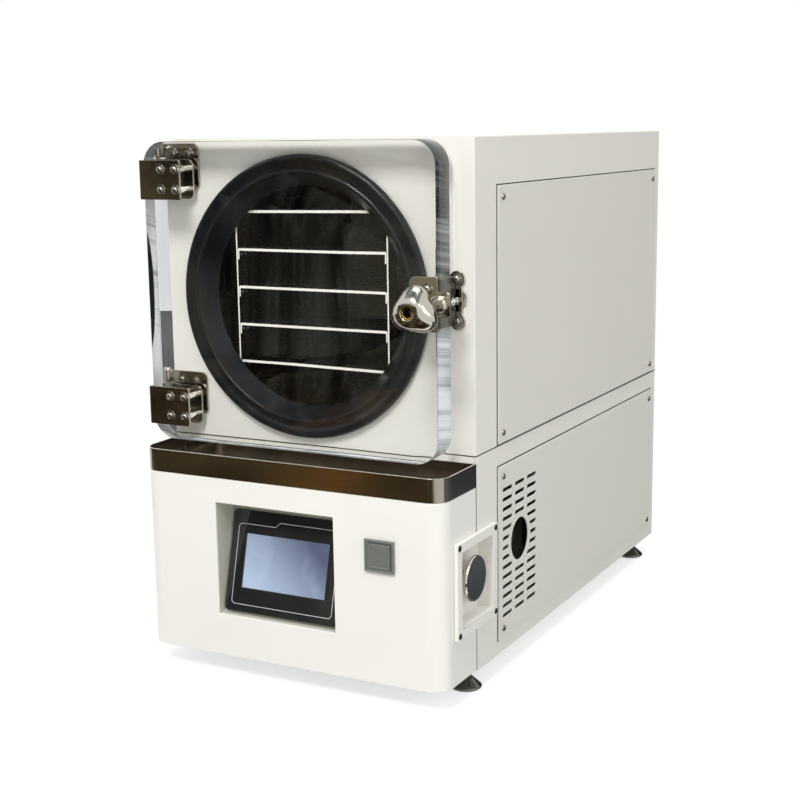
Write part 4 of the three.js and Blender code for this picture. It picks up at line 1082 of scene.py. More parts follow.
def flat_mesh(name: str, half_width: float, half_height: float) -> Mesh:
    """Make a rectangle that lies flat round the origin.

    Args:
        name: The mesh's name.
        half_width: Half its size along X.
        half_height: Half its size along Y.

    Returns:
        The mesh.
    """
    w, h = half_width, half_height
    mesh = bpy.data.meshes.new(name)
    mesh.from_pydata([(-w, -h, 0), (w, -h, 0), (w, h, 0), (-w, h, 0)], [], [(0, 1, 2, 3)])
    return mesh


# ---------------------------------------------------------------- geometry node trees


class PieceTree:
    """A geometry node tree with named inputs that makes one kind of piece."""

    sockets = {tuple: "NodeSocketVector", int: "NodeSocketInt", float: "NodeSocketFloat"}

    def __init__(self, name: str, inputs: dict[str, object], draw: Draw) -> None:
        """Build the tree; what it makes is real geometry in the material Finish.

        Args:
            name: The tree's name.
            inputs: Each input's name and its first value.
            draw: Lays the nodes; takes the bench and the inputs, gives what is made.
        """
        self.tree = bpy.data.node_groups.new(name, "GeometryNodeTree")
        add = self.tree.interface.new_socket
        for way in ("INPUT", "OUTPUT"):
            add(name="Geometry", in_out=way, socket_type="NodeSocketGeometry")
        for label, value in inputs.items():
            kind = self.sockets[type(value)]
            add(name=label, in_out="INPUT", socket_type=kind).default_value = value
        add(name="Finish", in_out="INPUT", socket_type="NodeSocketMaterial")
        bench = NodeBench(self.tree)
        given = bench.add("NodeGroupInput").outputs
        made = draw(bench, given)
        real = bench.add("GeometryNodeRealizeInstances", {"Geometry": made}).outputs[0]
        dressed = bench.add("GeometryNodeSetMaterial", {"Geometry": real,
                                                        "Material": given["Finish"]})
        bench.add("NodeGroupOutput", {0: dressed.outputs[0]})

    def run(self, name: str, base: Mesh, values: dict[str, object], smooth: float) -> Object:
        """Run the tree on a mesh and keep the result as a plain mesh.

        Args:
            name: The piece's name.
            base: The mesh that goes in.
            values: The values of the tree's named inputs.
            smooth: The sharpest edge that is shaded smooth, in degrees.

        Returns:
            The finished piece.
        """
        piece = new_object(name, base)
        modifier = piece.modifiers.new("made", "NODES")
        modifier.node_group = self.tree
        for item in self.tree.interface.items_tree:
            if item.in_out == "INPUT" and item.name in values:
                modifier[item.identifier] = values[item.name]
        bake_modifiers(piece)
        mesh = piece.data
        if mesh.materials and mesh.materials[0] is None:
            mesh.materials.pop(index=0)
        shape = bmesh.new()
        shape.from_mesh(mesh)
        bmesh.ops.recalc_face_normals(shape, faces=shape.faces)
        shape.to_mesh(mesh)
        shape.free()
        smooth_by_angle(mesh, smooth)
        return piece


def screw_head(bench: NodeBench, given: Sequence) -> Socket:
    """Lay the nodes of a domed head with a hexagon socket.

    Args:
        bench: The tree's bench.
        given: The tree's inputs.

    Returns:
        The head, standing on the washer.
    """
    radius, height = given["Head Radius"], given["Head Height"]
    ball = bench.add("GeometryNodeMeshUVSphere", {"Segments": 28, "Rings": 16,
                                                  "Radius": 1.0}).outputs["Mesh"]
    dome = bench.moved(ball, Scale=bench.vector(radius, radius, height))
    wide = bench.times(radius, 4.0)
    cube = bench.add("GeometryNodeMeshCube", {"Size": bench.vector(wide, wide, wide)})
    below = bench.moved(cube.outputs["Mesh"],
                        Translation=bench.vector(z=bench.times(wide, -0.5)))
    pin = bench.cylinder(6, given["Socket Radius"], bench.times(height, 1.3))
    drilled = bench.cut(bench.cut(dome, below),
                        bench.moved(pin, Translation=bench.vector(z=height)))
    seat = bench.times(given["Washer Height"], 0.9)
    return bench.moved(drilled, Translation=bench.vector(z=seat))


def draw_fasteners(bench: NodeBench, given: Sequence) -> Socket:
    """Lay the nodes that set a screw at every point, each turned by chance in its thread.

    Args:
        bench: The tree's bench.
        given: The tree's inputs.

    Returns:
        The screws with their chamfered washers and their shanks, which start in the washer.
    """
    radius, length, start = given["Washer Radius"], given["Shank Length"], mm(0.2)
    master = bench.add("GeometryNodeJoinGeometry")
    bench.feed(master.inputs[0], screw_head(bench, given))
    washer = bench.add("GeometryNodeMeshCone", {
        "Vertices": 32, "Radius Top": bench.times(radius, 0.9), "Radius Bottom": radius,
        "Depth": given["Washer Height"]}).outputs["Mesh"]
    bench.feed(master.inputs[0], washer)
    middle = bench.plus(bench.times(length, -0.5), start)
    shank = bench.moved(bench.cylinder(16, given["Shank Radius"], length),
                        Translation=bench.vector(z=middle))
    bench.feed(master.inputs[0], shank)
    spin = bench.add("FunctionNodeRandomValue", {
        "Min_001": 0.0, "Max_001": math.pi / 3, "Seed": given["Seed"]}, data_type="FLOAT")
    turn = bench.add("FunctionNodeAxisAngleToRotation", {
        "Axis": Facing.UP.value, "Angle": bench.socket(spin.outputs, "Value_001")}).outputs[0]
    both = bench.add("FunctionNodeRotateRotation", {
        "Rotation": bench.towards(given["Facing"]), "Rotate By": turn},
        rotation_space="LOCAL").outputs[0]
    return bench.on_points(given["Geometry"], master.outputs[0], Rotation=both)


def draw_ring(bench: NodeBench, given: Sequence) -> Socket:
    """Lay the nodes that sweep a profile round an axis, as a moulded ring.

    Args:
        bench: The tree's bench.
        given: The tree's inputs.

    Returns:
        The ring, facing the front.
    """
    circle = bench.add("GeometryNodeCurvePrimitiveCircle", {
        "Resolution": given["Facets"], "Radius": given["Radius"]}).outputs[0]
    profile = bench.add("GeometryNodeMeshToCurve", {"Mesh": given["Geometry"]}).outputs[0]
    ring = bench.add("GeometryNodeCurveToMesh", {"Curve": circle,
                                                 "Profile Curve": profile}).outputs[0]
    return bench.moved(ring, Rotation=QUARTER_TURN, Translation=given["Place"])


def draw_ribs(bench: NodeBench, given: Sequence) -> Socket:
    """Lay the nodes that set small round ribs side by side round an axis.

    Args:
        bench: The tree's bench.
        given: The tree's inputs.

    Returns:
        The ribs.
    """
    circle = bench.add("GeometryNodeMeshCircle", {
        "Vertices": given["Count"], "Radius": given["Radius"]}).outputs[0]
    rib = bench.cylinder(8, given["Rib Radius"], given["Rib Length"])
    placed = bench.on_points(circle, rib)
    return bench.moved(placed, Rotation=QUARTER_TURN, Translation=given["Place"])


def draw_thread(bench: NodeBench, given: Sequence) -> Socket:
    """Lay the nodes that wind a thread along an axis.

    Args:
        bench: The tree's bench.
        given: The tree's inputs.

    Returns:
        The thread.
    """
    helix = bench.add("GeometryNodeCurveSpiral", {
        "Resolution": 20, "Rotations": given["Turns"], "Start Radius": given["Radius"],
        "End Radius": given["Radius"],
        "Height": bench.times(given["Pitch"], given["Turns"])}).outputs[0]
    ridge = bench.add("GeometryNodeCurvePrimitiveCircle", {
        "Resolution": 4, "Radius": given["Depth"]}).outputs[0]
    wound = bench.add("GeometryNodeCurveToMesh", {
        "Curve": helix, "Profile Curve": ridge, "Fill Caps": True}).outputs[0]
    return bench.on_points(given["Geometry"], wound, Rotation=bench.towards(given["Facing"]))


def draw_stack(bench: NodeBench, given: Sequence) -> Socket:
    """Lay the nodes that repeat one plate along a line, as the fins of a condenser.

    Args:
        bench: The tree's bench.
        given: The tree's inputs.

    Returns:
        The plates.
    """
    line = bench.add("GeometryNodeMeshLine", {
        "Count": given["Count"], "Start Location": given["Start"],
        "Offset": given["Step"]}).outputs[0]
    plate = bench.add("GeometryNodeMeshCube", {"Size": given["Plate"]}).outputs["Mesh"]
    return bench.on_points(line, plate)


# ---------------------------------------------------------------- fittings


@dataclass(frozen=True)
class Screw:
    """Sizes of a domed socket screw with its washer."""

    head: float
    rise: float
    socket: float
    washer: float
    washer_rise: float
    shank: float
    reach: float

    def inputs(self) -> dict[str, float]:
        """Give the sizes as the fastener tree names them."""
        return {"Head Radius": self.head, "Head Height": self.rise, "Socket Radius": self.socket,
                "Washer Radius": self.washer, "Washer Height": self.washer_rise,
                "Shank Radius": self.shank, "Shank Length": self.reach}


class ScrewKind(Enum):
    """The screws that hold the machine together."""

    HINGE = Screw(mm(4.5), mm(2.9), mm(2.1), mm(6.4), mm(1.2), mm(2.4), mm(3.0))
    BOLT = Screw(mm(4.5), mm(2.9), mm(2.1), mm(6.4), mm(1.2), mm(2.4), mm(39.0))
    PANEL = Screw(mm(3.9), mm(2.2), mm(1.6), mm(0.5), mm(0.2), mm(1.6), mm(3.0))
    FLANGE = Screw(mm(3.6), mm(1.5), mm(1.3), mm(0.5), mm(0.2), mm(1.6), mm(4.0))
    RIVET = Screw(mm(2.2), mm(1.0), mm(0.5), mm(0.4), mm(0.1), mm(1.0), mm(0.5))


class Fitter:
    """Holds the finishes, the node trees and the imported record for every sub-assembly."""

    def __init__(self) -> None:
        """Build the trees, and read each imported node's body and finish."""
        build_effects()
        self.shop = Paintshop()
        self.fastener = PieceTree("fasteners", {
            "Facing": (0.0, 0.0, 1.0), **ScrewKind.HINGE.value.inputs(), "Seed": 1},
            draw_fasteners)
        self.ring = PieceTree("moulded_ring", {
            "Place": ORIGIN, "Radius": mm(100), "Facets": 160}, draw_ring)
        self.rib = PieceTree("ribs", {
            "Place": ORIGIN, "Radius": mm(100), "Count": 200, "Rib Radius": mm(1),
            "Rib Length": mm(4)}, draw_ribs)
        self.thread = PieceTree("thread", {
            "Radius": mm(3.6), "Pitch": mm(1), "Turns": 12.0, "Depth": mm(0.4),
            "Facing": (0.0, 0.0, 1.0)}, draw_thread)
        self.stack = PieceTree("plate_stack", {
            "Plate": (mm(30), mm(0.4), mm(150)), "Start": ORIGIN, "Step": (0.0, mm(3), 0.0),
            "Count": 40}, draw_stack)
        record = frame["record"]
        self.body = {node: body for body, nodes in record["behaviour"]["bodies"].items()
                     for node in nodes}
        self.slot = {part["node"]: part["material_slot"] for part in record["subparts"]}


@dataclass
class SubAssembly:
    """A group of pieces that are built and dressed together."""

    fitter: Fitter
    pieces: list[str] = field(default_factory=list)

    def build(self) -> None:
        """Build the meshes; each sub-assembly has its own."""
        raise NotImplementedError

    def coat(self, coat: Coat | Finish) -> Material:
        """Give the material of a finish."""
        return self.fitter.shop.get(coat)

    def fit(self, piece: Object, body: str, slot: str, *nodes: str) -> None:
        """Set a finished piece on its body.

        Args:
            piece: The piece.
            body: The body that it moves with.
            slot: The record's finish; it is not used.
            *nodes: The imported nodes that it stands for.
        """
        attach(piece, body)
        if nodes:
            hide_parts(*nodes)
        self.pieces.append(piece.name)
        log.info("%s: %s on %s, %d faces", type(self).__name__, piece.name, body,
                 len(piece.data.polygons))

    def lay(self, name: str, shape: Shape, coat: Coat, slot: str) -> None:
        """Set a new shape on the cabinet as it is."""
        self.fit(new_object(name, to_mesh(name, shape), self.coat(coat)), "cabinet", slot)

    def make(self, name: str, tree: PieceTree, base: Mesh, coat: Coat,
             values: dict[str, object], smooth: float = SMOOTH) -> Object:
        """Run a node tree on a base and give what it makes a finish; it has no body yet."""
        return tree.run(name, base, {**values, "Finish": self.coat(coat)}, smooth)

    def stand_for(self, node: str, shape: Shape, coat: Coat | Finish, easing: Easing,
                  *others: Coat | Finish) -> None:
        """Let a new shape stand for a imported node.

        Args:
            node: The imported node.
            shape: The sharp shape.
            coat: Its finish.
            easing: How its edges are eased.
            *others: Finishes of further slots.
        """
        materials = [self.coat(c) for c in (coat, *others)]
        piece = eased(f"{node}_finished", to_mesh(node, shape), easing, *materials)
        self.fit(piece, self.fitter.body[node], self.fitter.slot[node], node)

    def soften(self, node: str, coat: Coat | Finish, width: float, segments: int = 2,
               limit: float = Easing.limit) -> None:
        """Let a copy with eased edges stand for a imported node; width 0 leaves them sharp."""
        self.stand_for(node, copy_of(node), coat, Easing(width, segments, limit))

    def paint(self, coat: Coat, *nodes: str) -> None:
        """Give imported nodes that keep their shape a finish.

        Args:
            coat: The finish.
            *nodes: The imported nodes.
        """
        for node in nodes:
            mesh = frame["nodes"][node].data
            for i in range(len(mesh.materials)):
                mesh.materials[i] = self.coat(coat)
            self.pieces.append(node)
            log.info("%s: %s painted", type(self).__name__, node)

    def screws(self, name: str, body: str, kind: ScrewKind, facing: Facing,
               points: Sequence[Vector], seed: int, coat: Coat = Coat.SCREW,
               slot: str = "hardware") -> None:
        """Set one screw at each point.

        Args:
            name: The set's name.
            body: The body that it moves with.
            kind: Which screw.
            facing: Which way the heads face.
            points: Where the heads sit.
            seed: Turns the sockets differently.
            coat: The screws' finish.
            slot: The record's finish, handed on to fit.
        """
        values = {"Facing": facing.value, **kind.value.inputs(), "Seed": seed}
        piece = self.make(name, self.fitter.fastener, points_mesh(name, points), coat, values)
        self.fit(piece, body, slot)


# ---------------------------------------------------------------- cabinet


@dataclass
class CabinetShell(SubAssembly):
    """The two housings, the panels and the deck between them."""

    screw_inset: float = mm(13)
    screw_foot: float = mm(11.7)
    sheet: float = mm(2)
    rail_depth: float = mm(1.1)
    rail_foot: float = mm(10)
    rail_gap: float = mm(0.2)
    joint_seal: float = mm(1.3)
    joint_proud: float = mm(0.12)
    housing_seal_width: float = mm(5)
    cover_seal_width: float = mm(3)
    cover_seal_set: float = mm(0.8)
    # The dark sheet round each side panel is a painted shadow gap.
    shadow_gap_width: float = mm(1.4)
    shadow_gap_rise: float = mm(0.25)
    shadow_gap_root: float = mm(0.2)

    def build(self) -> None:
        """Ease the folded edges, set the panel screws, lay a dark sheet round each side panel as a
        painted shadow gap, and close the joints.
        """
        self.front_rail()
        self.housing_seal()
        self.cover_seal()
        for node in ("lower_housing", "upper_housing"):
            self.soften(node, Coat.CABINET, mm(0.6), 3)
        for node in ("side_panel_upper_right", "side_panel_upper_left",
                     "side_panel_lower_right", "side_panel_lower_left"):
            self.soften(node, Coat.PANEL, mm(0.45))
            box = Box.of(node)
            self.screws(f"{node}_screws", "cabinet", ScrewKind.PANEL, box.side,
                        box.corners(box.side, self.screw_inset, self.screw_foot),
                        seed=len(self.pieces))
            self.panel_seal(node)
        for node in ("rear_panel_upper", "rear_panel_lower"):
            self.soften(node, Coat.PANEL, mm(0.45))
        self.rear_screws()
        self.paint(Coat.ZINC, "deck_plate")

    def front_rail(self) -> None:
        """Close the strip between the trough and the joint of the two housings."""
        housing, trough = Box.of("lower_housing"), Box.of("drip_trough")
        bottom, top = trough.high.z - self.rail_foot, housing.high.z - self.rail_gap
        half = (housing.size.x / 2 - self.sheet, (top - bottom) / 2)
        back = Vector((housing.centre.x, housing.low.y + self.rail_depth, (top + bottom) / 2))
        shape = block(back, half, self.rail_depth)
        piece = eased("front_rail", to_mesh("front_rail", shape), Easing(width=mm(0.2)),
                      self.coat(Coat.CABINET))
        self.fit(piece, "cabinet", self.fitter.slot["lower_housing"])

    def housing_seal(self) -> None:
        """Lay the dark seal between the two housings."""
        lower, upper, high = Box.of("lower_housing"), Box.of("upper_housing"), self.joint_seal
        wide, deep = lower.size.x / 2 + self.joint_proud, lower.size.y / 2 + self.joint_proud
        middle = Vector((*lower.centre.xy, (lower.high.z + upper.low.z - high) / 2))
        inner = (wide - self.housing_seal_width, deep - self.housing_seal_width)
        sections = [(wide, deep, 0.0), (wide, deep, high), (*inner, high), (*inner, 0.0)]
        shape = square_rings(middle, Facing.UP, sections, True)
        self.lay("housing_seal", shape, Coat.FOAM_AND_SHADE, "rubber")

    def cover_seal(self) -> None:
        """Lay the dark seal behind the front cover, with a gap at the vent valve's recess."""
        cover, trough, recess = Box.of("fascia"), Box.of("drip_trough"), Box.of("valve_box")
        left, right = cover.low.x - self.joint_proud, cover.high.x + self.joint_proud
        bottom, top, width = cover.low.z, trough.high.z, self.cover_seal_width
        bars = [(left, left + width, bottom, top), (left + width, right - width, top - width, top),
                (right - width, right, recess.high.z, top),
                (right - width, right, bottom, recess.low.z)]
        shape = bmesh.new()
        for low_x, high_x, low_z, high_z in bars:
            half = ((high_x - low_x) / 2, (high_z - low_z) / 2)
            back = Vector(((low_x + high_x) / 2, cover.high.y + self.cover_seal_set,
                           (low_z + high_z) / 2))
            mesh = to_mesh("bar", block(back, half, self.joint_seal))
            shape.from_mesh(mesh)
            bpy.data.meshes.remove(mesh)
        self.lay("front_cover_seal", shape, Coat.FOAM_AND_SHADE, "rubber")

    def panel_seal(self, node: str) -> None:
        """Lay a dark sheet round a side panel as a painted shadow gap.

        Args:
            node: The panel.
        """
        box, width, rise = Box.of(node), self.shadow_gap_width, self.shadow_gap_rise
        housing = Box.of("upper_housing" if "upper" in node else "lower_housing")
        seat = Vector((housing.reach(box.side), *box.centre.yz))
        half, root = (box.size.y / 2, box.size.z / 2), -self.shadow_gap_root
        outer = (half[0] + width, half[1] + width)
        sections = [(*outer, root), (*outer, rise), (*half, rise), (*half, root)]
        self.lay(f"{node}_seal", square_rings(seat, box.side, sections, True), Coat.FOAM_AND_SHADE, "rubber")

    def rear_screws(self) -> None:
        """Set screws round the two rear panels."""
        inset = self.screw_inset
        boxes = [Box.of("rear_panel_upper"), Box.of("rear_panel_lower")]
        points = [Vector((x, box.high.y, z)) for box in boxes
                  for x in (box.low.x + inset, box.centre.x, box.high.x - inset)
                  for z in (box.low.z + inset, box.high.z - inset)]
        self.screws("rear_panel_screws", "cabinet", ScrewKind.PANEL, Facing.BACK, points, seed=9)


def block(back: Vector, half: Point, depth: float) -> Shape:
    """Build a plain block that reaches forward from the middle of its back."""
    return square_rings(back, Facing.FRONT, [(*half, 0.0), (*half, depth)], False)


@dataclass
class FrontCover(SubAssembly):
    """The projecting fascia and the drip trough on it."""

    rim_depth: float = mm(0.5)

    def build(self) -> None:
        """Ease the fascia's and the trough's edges and give the trough's rim a near-white painted
        highlight.
        """
        self.soften("fascia", Coat.FASCIA, mm(0.7), 3)
        trough = copy_of("drip_trough")
        # The trough's rim faces take the painted highlight.
        second_finish(trough, Facing.UP, self.rim_depth)
        self.stand_for("drip_trough", trough, Coat.TROUGH, Easing(width=mm(0.4)), Coat.EDGE)


@dataclass
class TouchScreen(SubAssembly):
    """The sloped panel computer in its pocket."""

    tilt: float = math.radians(14.3)
    bezel_height: float = mm(121)
    bezel_thickness: float = mm(5)
    line_inset: float = mm(9)
    line_width: float = mm(0.55)
    line_rise: float = mm(0.04)
    line_corner: float = mm(3)
    header: float = mm(17)
    header_step: float = mm(5.5)
    step_place: float = 0.42

    def build(self) -> None:
        """Ease the pocket, painted darker as painted shade, and the bezel, lay the display with its
        painted reflection and print the line round it.
        """
        # The pocket takes the darker paint as painted shade.
        self.soften("screen_pocket", Coat.SHADED_POCKET, mm(0.3))
        self.soften("screen_bezel", Coat.GLOSS_BLACK, mm(0.8), 3)
        centre = tuple(Box.of("screen_display").centre)
        # The display's colour is a painted reflection, light to dim across the glass.
        glass = DisplayGlass("display_glass_painted_reflection", "B8CAE4", 0.16, centre=centre)
        self.soften("screen_display", glass, mm(0.2))
        self.printed_line()

    def line_path(self, width: float) -> list[Point]:
        """Give the corners of the printed line, with its step below the blank header.

        Args:
            width: The bezel's width.

        Returns:
            Across and up at each corner.
        """
        corner, step, low = self.line_corner, self.header_step, self.line_inset
        right, top, turn = width - low, self.bezel_height - self.header, width * self.step_place
        return [(low + corner, low), (right - corner, low), (right, low + corner),
                (right, top + step - corner), (right - corner, top + step), (turn, top + step),
                (turn - step, top), (low + corner, top), (low, top - corner),
                (low, low + corner)]

    def printed_line(self) -> None:
        """Print the fine line frame on the tilted bezel."""
        box = Box.of("screen_bezel")
        up = Vector((0, math.sin(self.tilt), math.cos(self.tilt)))
        out = Vector((0, -math.cos(self.tilt), math.sin(self.tilt)))
        front = box.low + Vector((0, 0, self.bezel_thickness * math.sin(self.tilt)))
        foot = front + out * self.line_rise
        points = [foot + Vector((x, 0, 0)) + up * z for x, z in self.line_path(box.size.x)]
        shape = bmesh.new()
        pairs = []
        for i, point in enumerate(points):
            before = (point - points[i - 1]).normalized()
            after = (points[(i + 1) % len(points)] - point).normalized()
            side = (before + after).normalized().cross(out)
            reach = side * (self.line_width / 2 / max(0.5, side.dot(after.cross(out))))
            pairs.append([shape.verts.new(point + reach), shape.verts.new(point - reach)])
        for i, (inner, outer) in enumerate(pairs):
            after = pairs[(i + 1) % len(pairs)]
            shape.faces.new([inner, outer, after[1], after[0]])
        flat = shape.faces[:]
        for vert in shape.verts:
            vert.co -= out * self.line_rise / 2
        for item in bmesh.ops.extrude_face_region(shape, geom=flat)["geom"]:
            if isinstance(item, bmesh.types.BMVert):
                item.co += out * self.line_rise
        bmesh.ops.recalc_face_normals(shape, faces=shape.faces)
        self.lay("screen_printed_line", shape, Coat.PRINT, "screen")


@dataclass
class StartButton(SubAssembly):
    """The square start key in its bevelled frame."""

    frame_chamfer: float = mm(0.7)
    frame_land: float = mm(0.7)
    frame_slope: float = mm(1.5)
    key_gap: float = mm(0.35)
    key_chamfer: float = mm(0.5)
    key_rim: float = mm(1.8)
    key_dish: float = mm(0.5)
    dish_slope: float = mm(0.6)

    def build(self) -> None:
        """Bevel the frame like a picture frame and dish the key."""
        box, key, chamfer = Box.of("button_bezel"), Box.of("button_key"), self.frame_chamfer
        half, rise, inner = box.size.x / 2, box.size.y, key.size.x / 2 + self.key_gap
        self.square("button_bezel", [
            (half, 0.0), (half, rise - chamfer), (half - chamfer, rise),
            (half - chamfer - self.frame_land, rise), (inner, rise - self.frame_slope),
            (inner, 0.0)], True)
        half, rise, chamfer = key.size.x / 2, key.size.y, self.key_chamfer
        land = half - self.key_rim
        self.square("button_key", [
            (half, 0.0), (half, rise - chamfer), (half - chamfer, rise), (land, rise),
            (land - self.dish_slope, rise - self.key_dish)], False)

    def square(self, node: str, sections: Sequence[Point], closed: bool) -> None:
        """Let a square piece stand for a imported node.

        Args:
            node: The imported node.
            sections: Half width and rise of each ring.
            closed: Whether the rings close to a frame.
        """
        box = Box.of(node)
        back = Vector((box.centre.x, box.high.y, box.centre.z))
        rings = [(half, half, rise) for half, rise in sections]
        shape = square_rings(back, Facing.FRONT, rings, closed)
        self.stand_for(node, shape, Coat.SATIN_SILVER, Easing(width=mm(0.12)))


@dataclass
class VentValve(SubAssembly):
    """The flanged recess on the right with its turned knob."""

    screw_inset: float = mm(5)

    def build(self) -> None:
        """Ease the flange and the knob and set the corner screws."""
        self.soften("valve_box", Coat.FASCIA, mm(0.6), 3)
        self.soften("valve_knob", Coat.CHROME, mm(0.4), 3)
        self.soften("valve_body", Coat.ZINC, mm(0.5))
        inset = self.screw_inset
        points = Box.of("valve_box").corners(Facing.RIGHT, inset, inset)
        self.screws("valve_flange_screws", "cabinet", ScrewKind.FLANGE, Facing.RIGHT, points,
                    seed=4, coat=Coat.DARK_SCREW)


# ---------------------------------------------------------------- chamber


@dataclass
class VacuumChamber(SubAssembly):
    """The drum, its gasket, the cold coil and the shelf rack.

    The gasket's valley is given as distances inwards from its outside and behind its front.
    The crest's arc is in degrees, and the rivets stand at shares of an upright's width.
    """

    chamber_bore: float = mm(141)
    gasket_outer: float = mm(162)
    gasket_crest: float = mm(139.5)
    gasket_lip: float = mm(126)
    gasket_gap: float = mm(0.3)
    gasket_facets: int = 168
    lip_depth: float = mm(13)
    heel: Point = (mm(1.2), mm(1.6))
    bead_round: float = mm(4.2)
    valley: tuple[Point, ...] = ((mm(8), mm(0.3)), (mm(10), mm(1.2)), (mm(12.5), mm(1.9)))
    crest_round: float = mm(3.6)
    crest_arc: Point = (-32, -152)
    lip_round: float = mm(2.8)
    ribs: int = 290
    rib_radius: float = mm(0.8)
    rib_seat: float = mm(0.2)
    front_depth: float = mm(0.2)
    upright_width: float = mm(20)
    rivet_shares: Point = (0.3, 0.72)
    rivet_drop: float = mm(7.7)
    rivet_seat: float = mm(2)

    def build(self) -> None:
        """Build the vessel from the wall inwards."""
        self.soften("chamber_drum", Coat.DRUM, 0.0)
        self.paint(Coat.COPPER, "evaporator_coil")
        self.paint(Coat.FOAM_AND_SHADE, "insulation_jacket")
        self.paint(Coat.ZINC, "chamber_saddle")
        self.gasket()
        shelves = [f"shelf_{i}" for i in range(1, 6)]
        for node in ("rack_side_left", "rack_side_right", *shelves):
            # The plates' front faces take a near-white painted highlight.
            plate = copy_of(node)
            second_finish(plate, Facing.FRONT, self.front_depth)
            self.stand_for(node, plate, Coat.STAINLESS, Easing(width=mm(0.25)), Coat.EDGE)
        self.rivets(shelves[:-1])

    def gasket_profile(self, front: float, seat: float, back: float) -> list[Point]:
        """Give the gasket's moulded profile, from its heel round to its lip.

        Args:
            front: Where its front is.
            seat: Where it sits on the cabinet.
            back: Where its lip ends.

        Returns:
            Radius and place along the axis at each corner.
        """
        outer, bead, crest, lip = (self.gasket_outer, self.bead_round, self.crest_round,
                                   self.lip_round)
        bore = self.chamber_bore - self.gasket_gap
        heel_in, heel_up = self.heel
        return [(bore, seat), (outer - heel_in, seat), (outer, seat - heel_up),
                *arc_points(outer - bead, front + bead, bead, 0, -90, 8),
                *((outer - inwards, front + behind) for inwards, behind in self.valley),
                *arc_points(self.gasket_crest + crest, front + crest, crest, *self.crest_arc, 12),
                *arc_points(self.gasket_lip + lip, back - lip, lip, 180, 90, 6), (bore, back)]

    def gasket(self) -> None:
        """Sweep the gasket's profile round the chamber and set the fine ribs on its land."""
        box = Box.of("door_gasket")
        front, back = box.low.y, box.high.y
        seat = back - self.lip_depth - self.gasket_gap
        middle = (self.gasket_outer + self.gasket_lip) / 2
        points = [Vector((radius - middle, along, 0.0))
                  for radius, along in self.gasket_profile(front, seat, back)]
        piece = self.make("door_gasket_finished", self.fitter.ring,
                          points_mesh("gasket_profile", points, joined=True), Coat.RUBBER, {
                              "Place": (box.centre.x, 0.0, box.centre.z), "Radius": middle,
                              "Facets": self.gasket_facets})
        self.fit(piece, "cabinet", "rubber", "door_gasket")
        land_front, land_back = front + self.bead_round, seat - self.heel[1]
        ribs = self.make("door_gasket_ribs", self.fitter.rib,
                         points_mesh("ribs", [box.centre]), Coat.RUBBER, {
                             "Place": (box.centre.x, (land_front + land_back) / 2, box.centre.z),
                             "Radius": self.gasket_outer - self.rib_seat, "Count": self.ribs,
                             "Rib Radius": self.rib_radius, "Rib Length": land_back - land_front},
                         smooth=50)
        self.fit(ribs, "cabinet", "rubber")

    def rivets(self, shelves: Sequence[str]) -> None:
        """Set two rivets through each shelf flange at each upright.

        Args:
            shelves: The shelves that hang on rivets.
        """
        boxes = [Box.of(node) for node in shelves]
        for word, facing, seed in (("left", Facing.RIGHT, 2), ("right", Facing.LEFT, 3)):
            side = Facing[word.upper()]
            points = [Vector((box.reach(side) + facing.value[0] * self.rivet_seat,
                              start + self.upright_width * share, box.high.z - self.rivet_drop))
                      for box in boxes for start in (box.low.y, box.high.y - self.upright_width)
                      for share in self.rivet_shares]
            self.screws(f"shelf_rivets_{word}", "cabinet", ScrewKind.RIVET, facing, points, seed,
                        Coat.CHROME, "stainless")


# ---------------------------------------------------------------- door


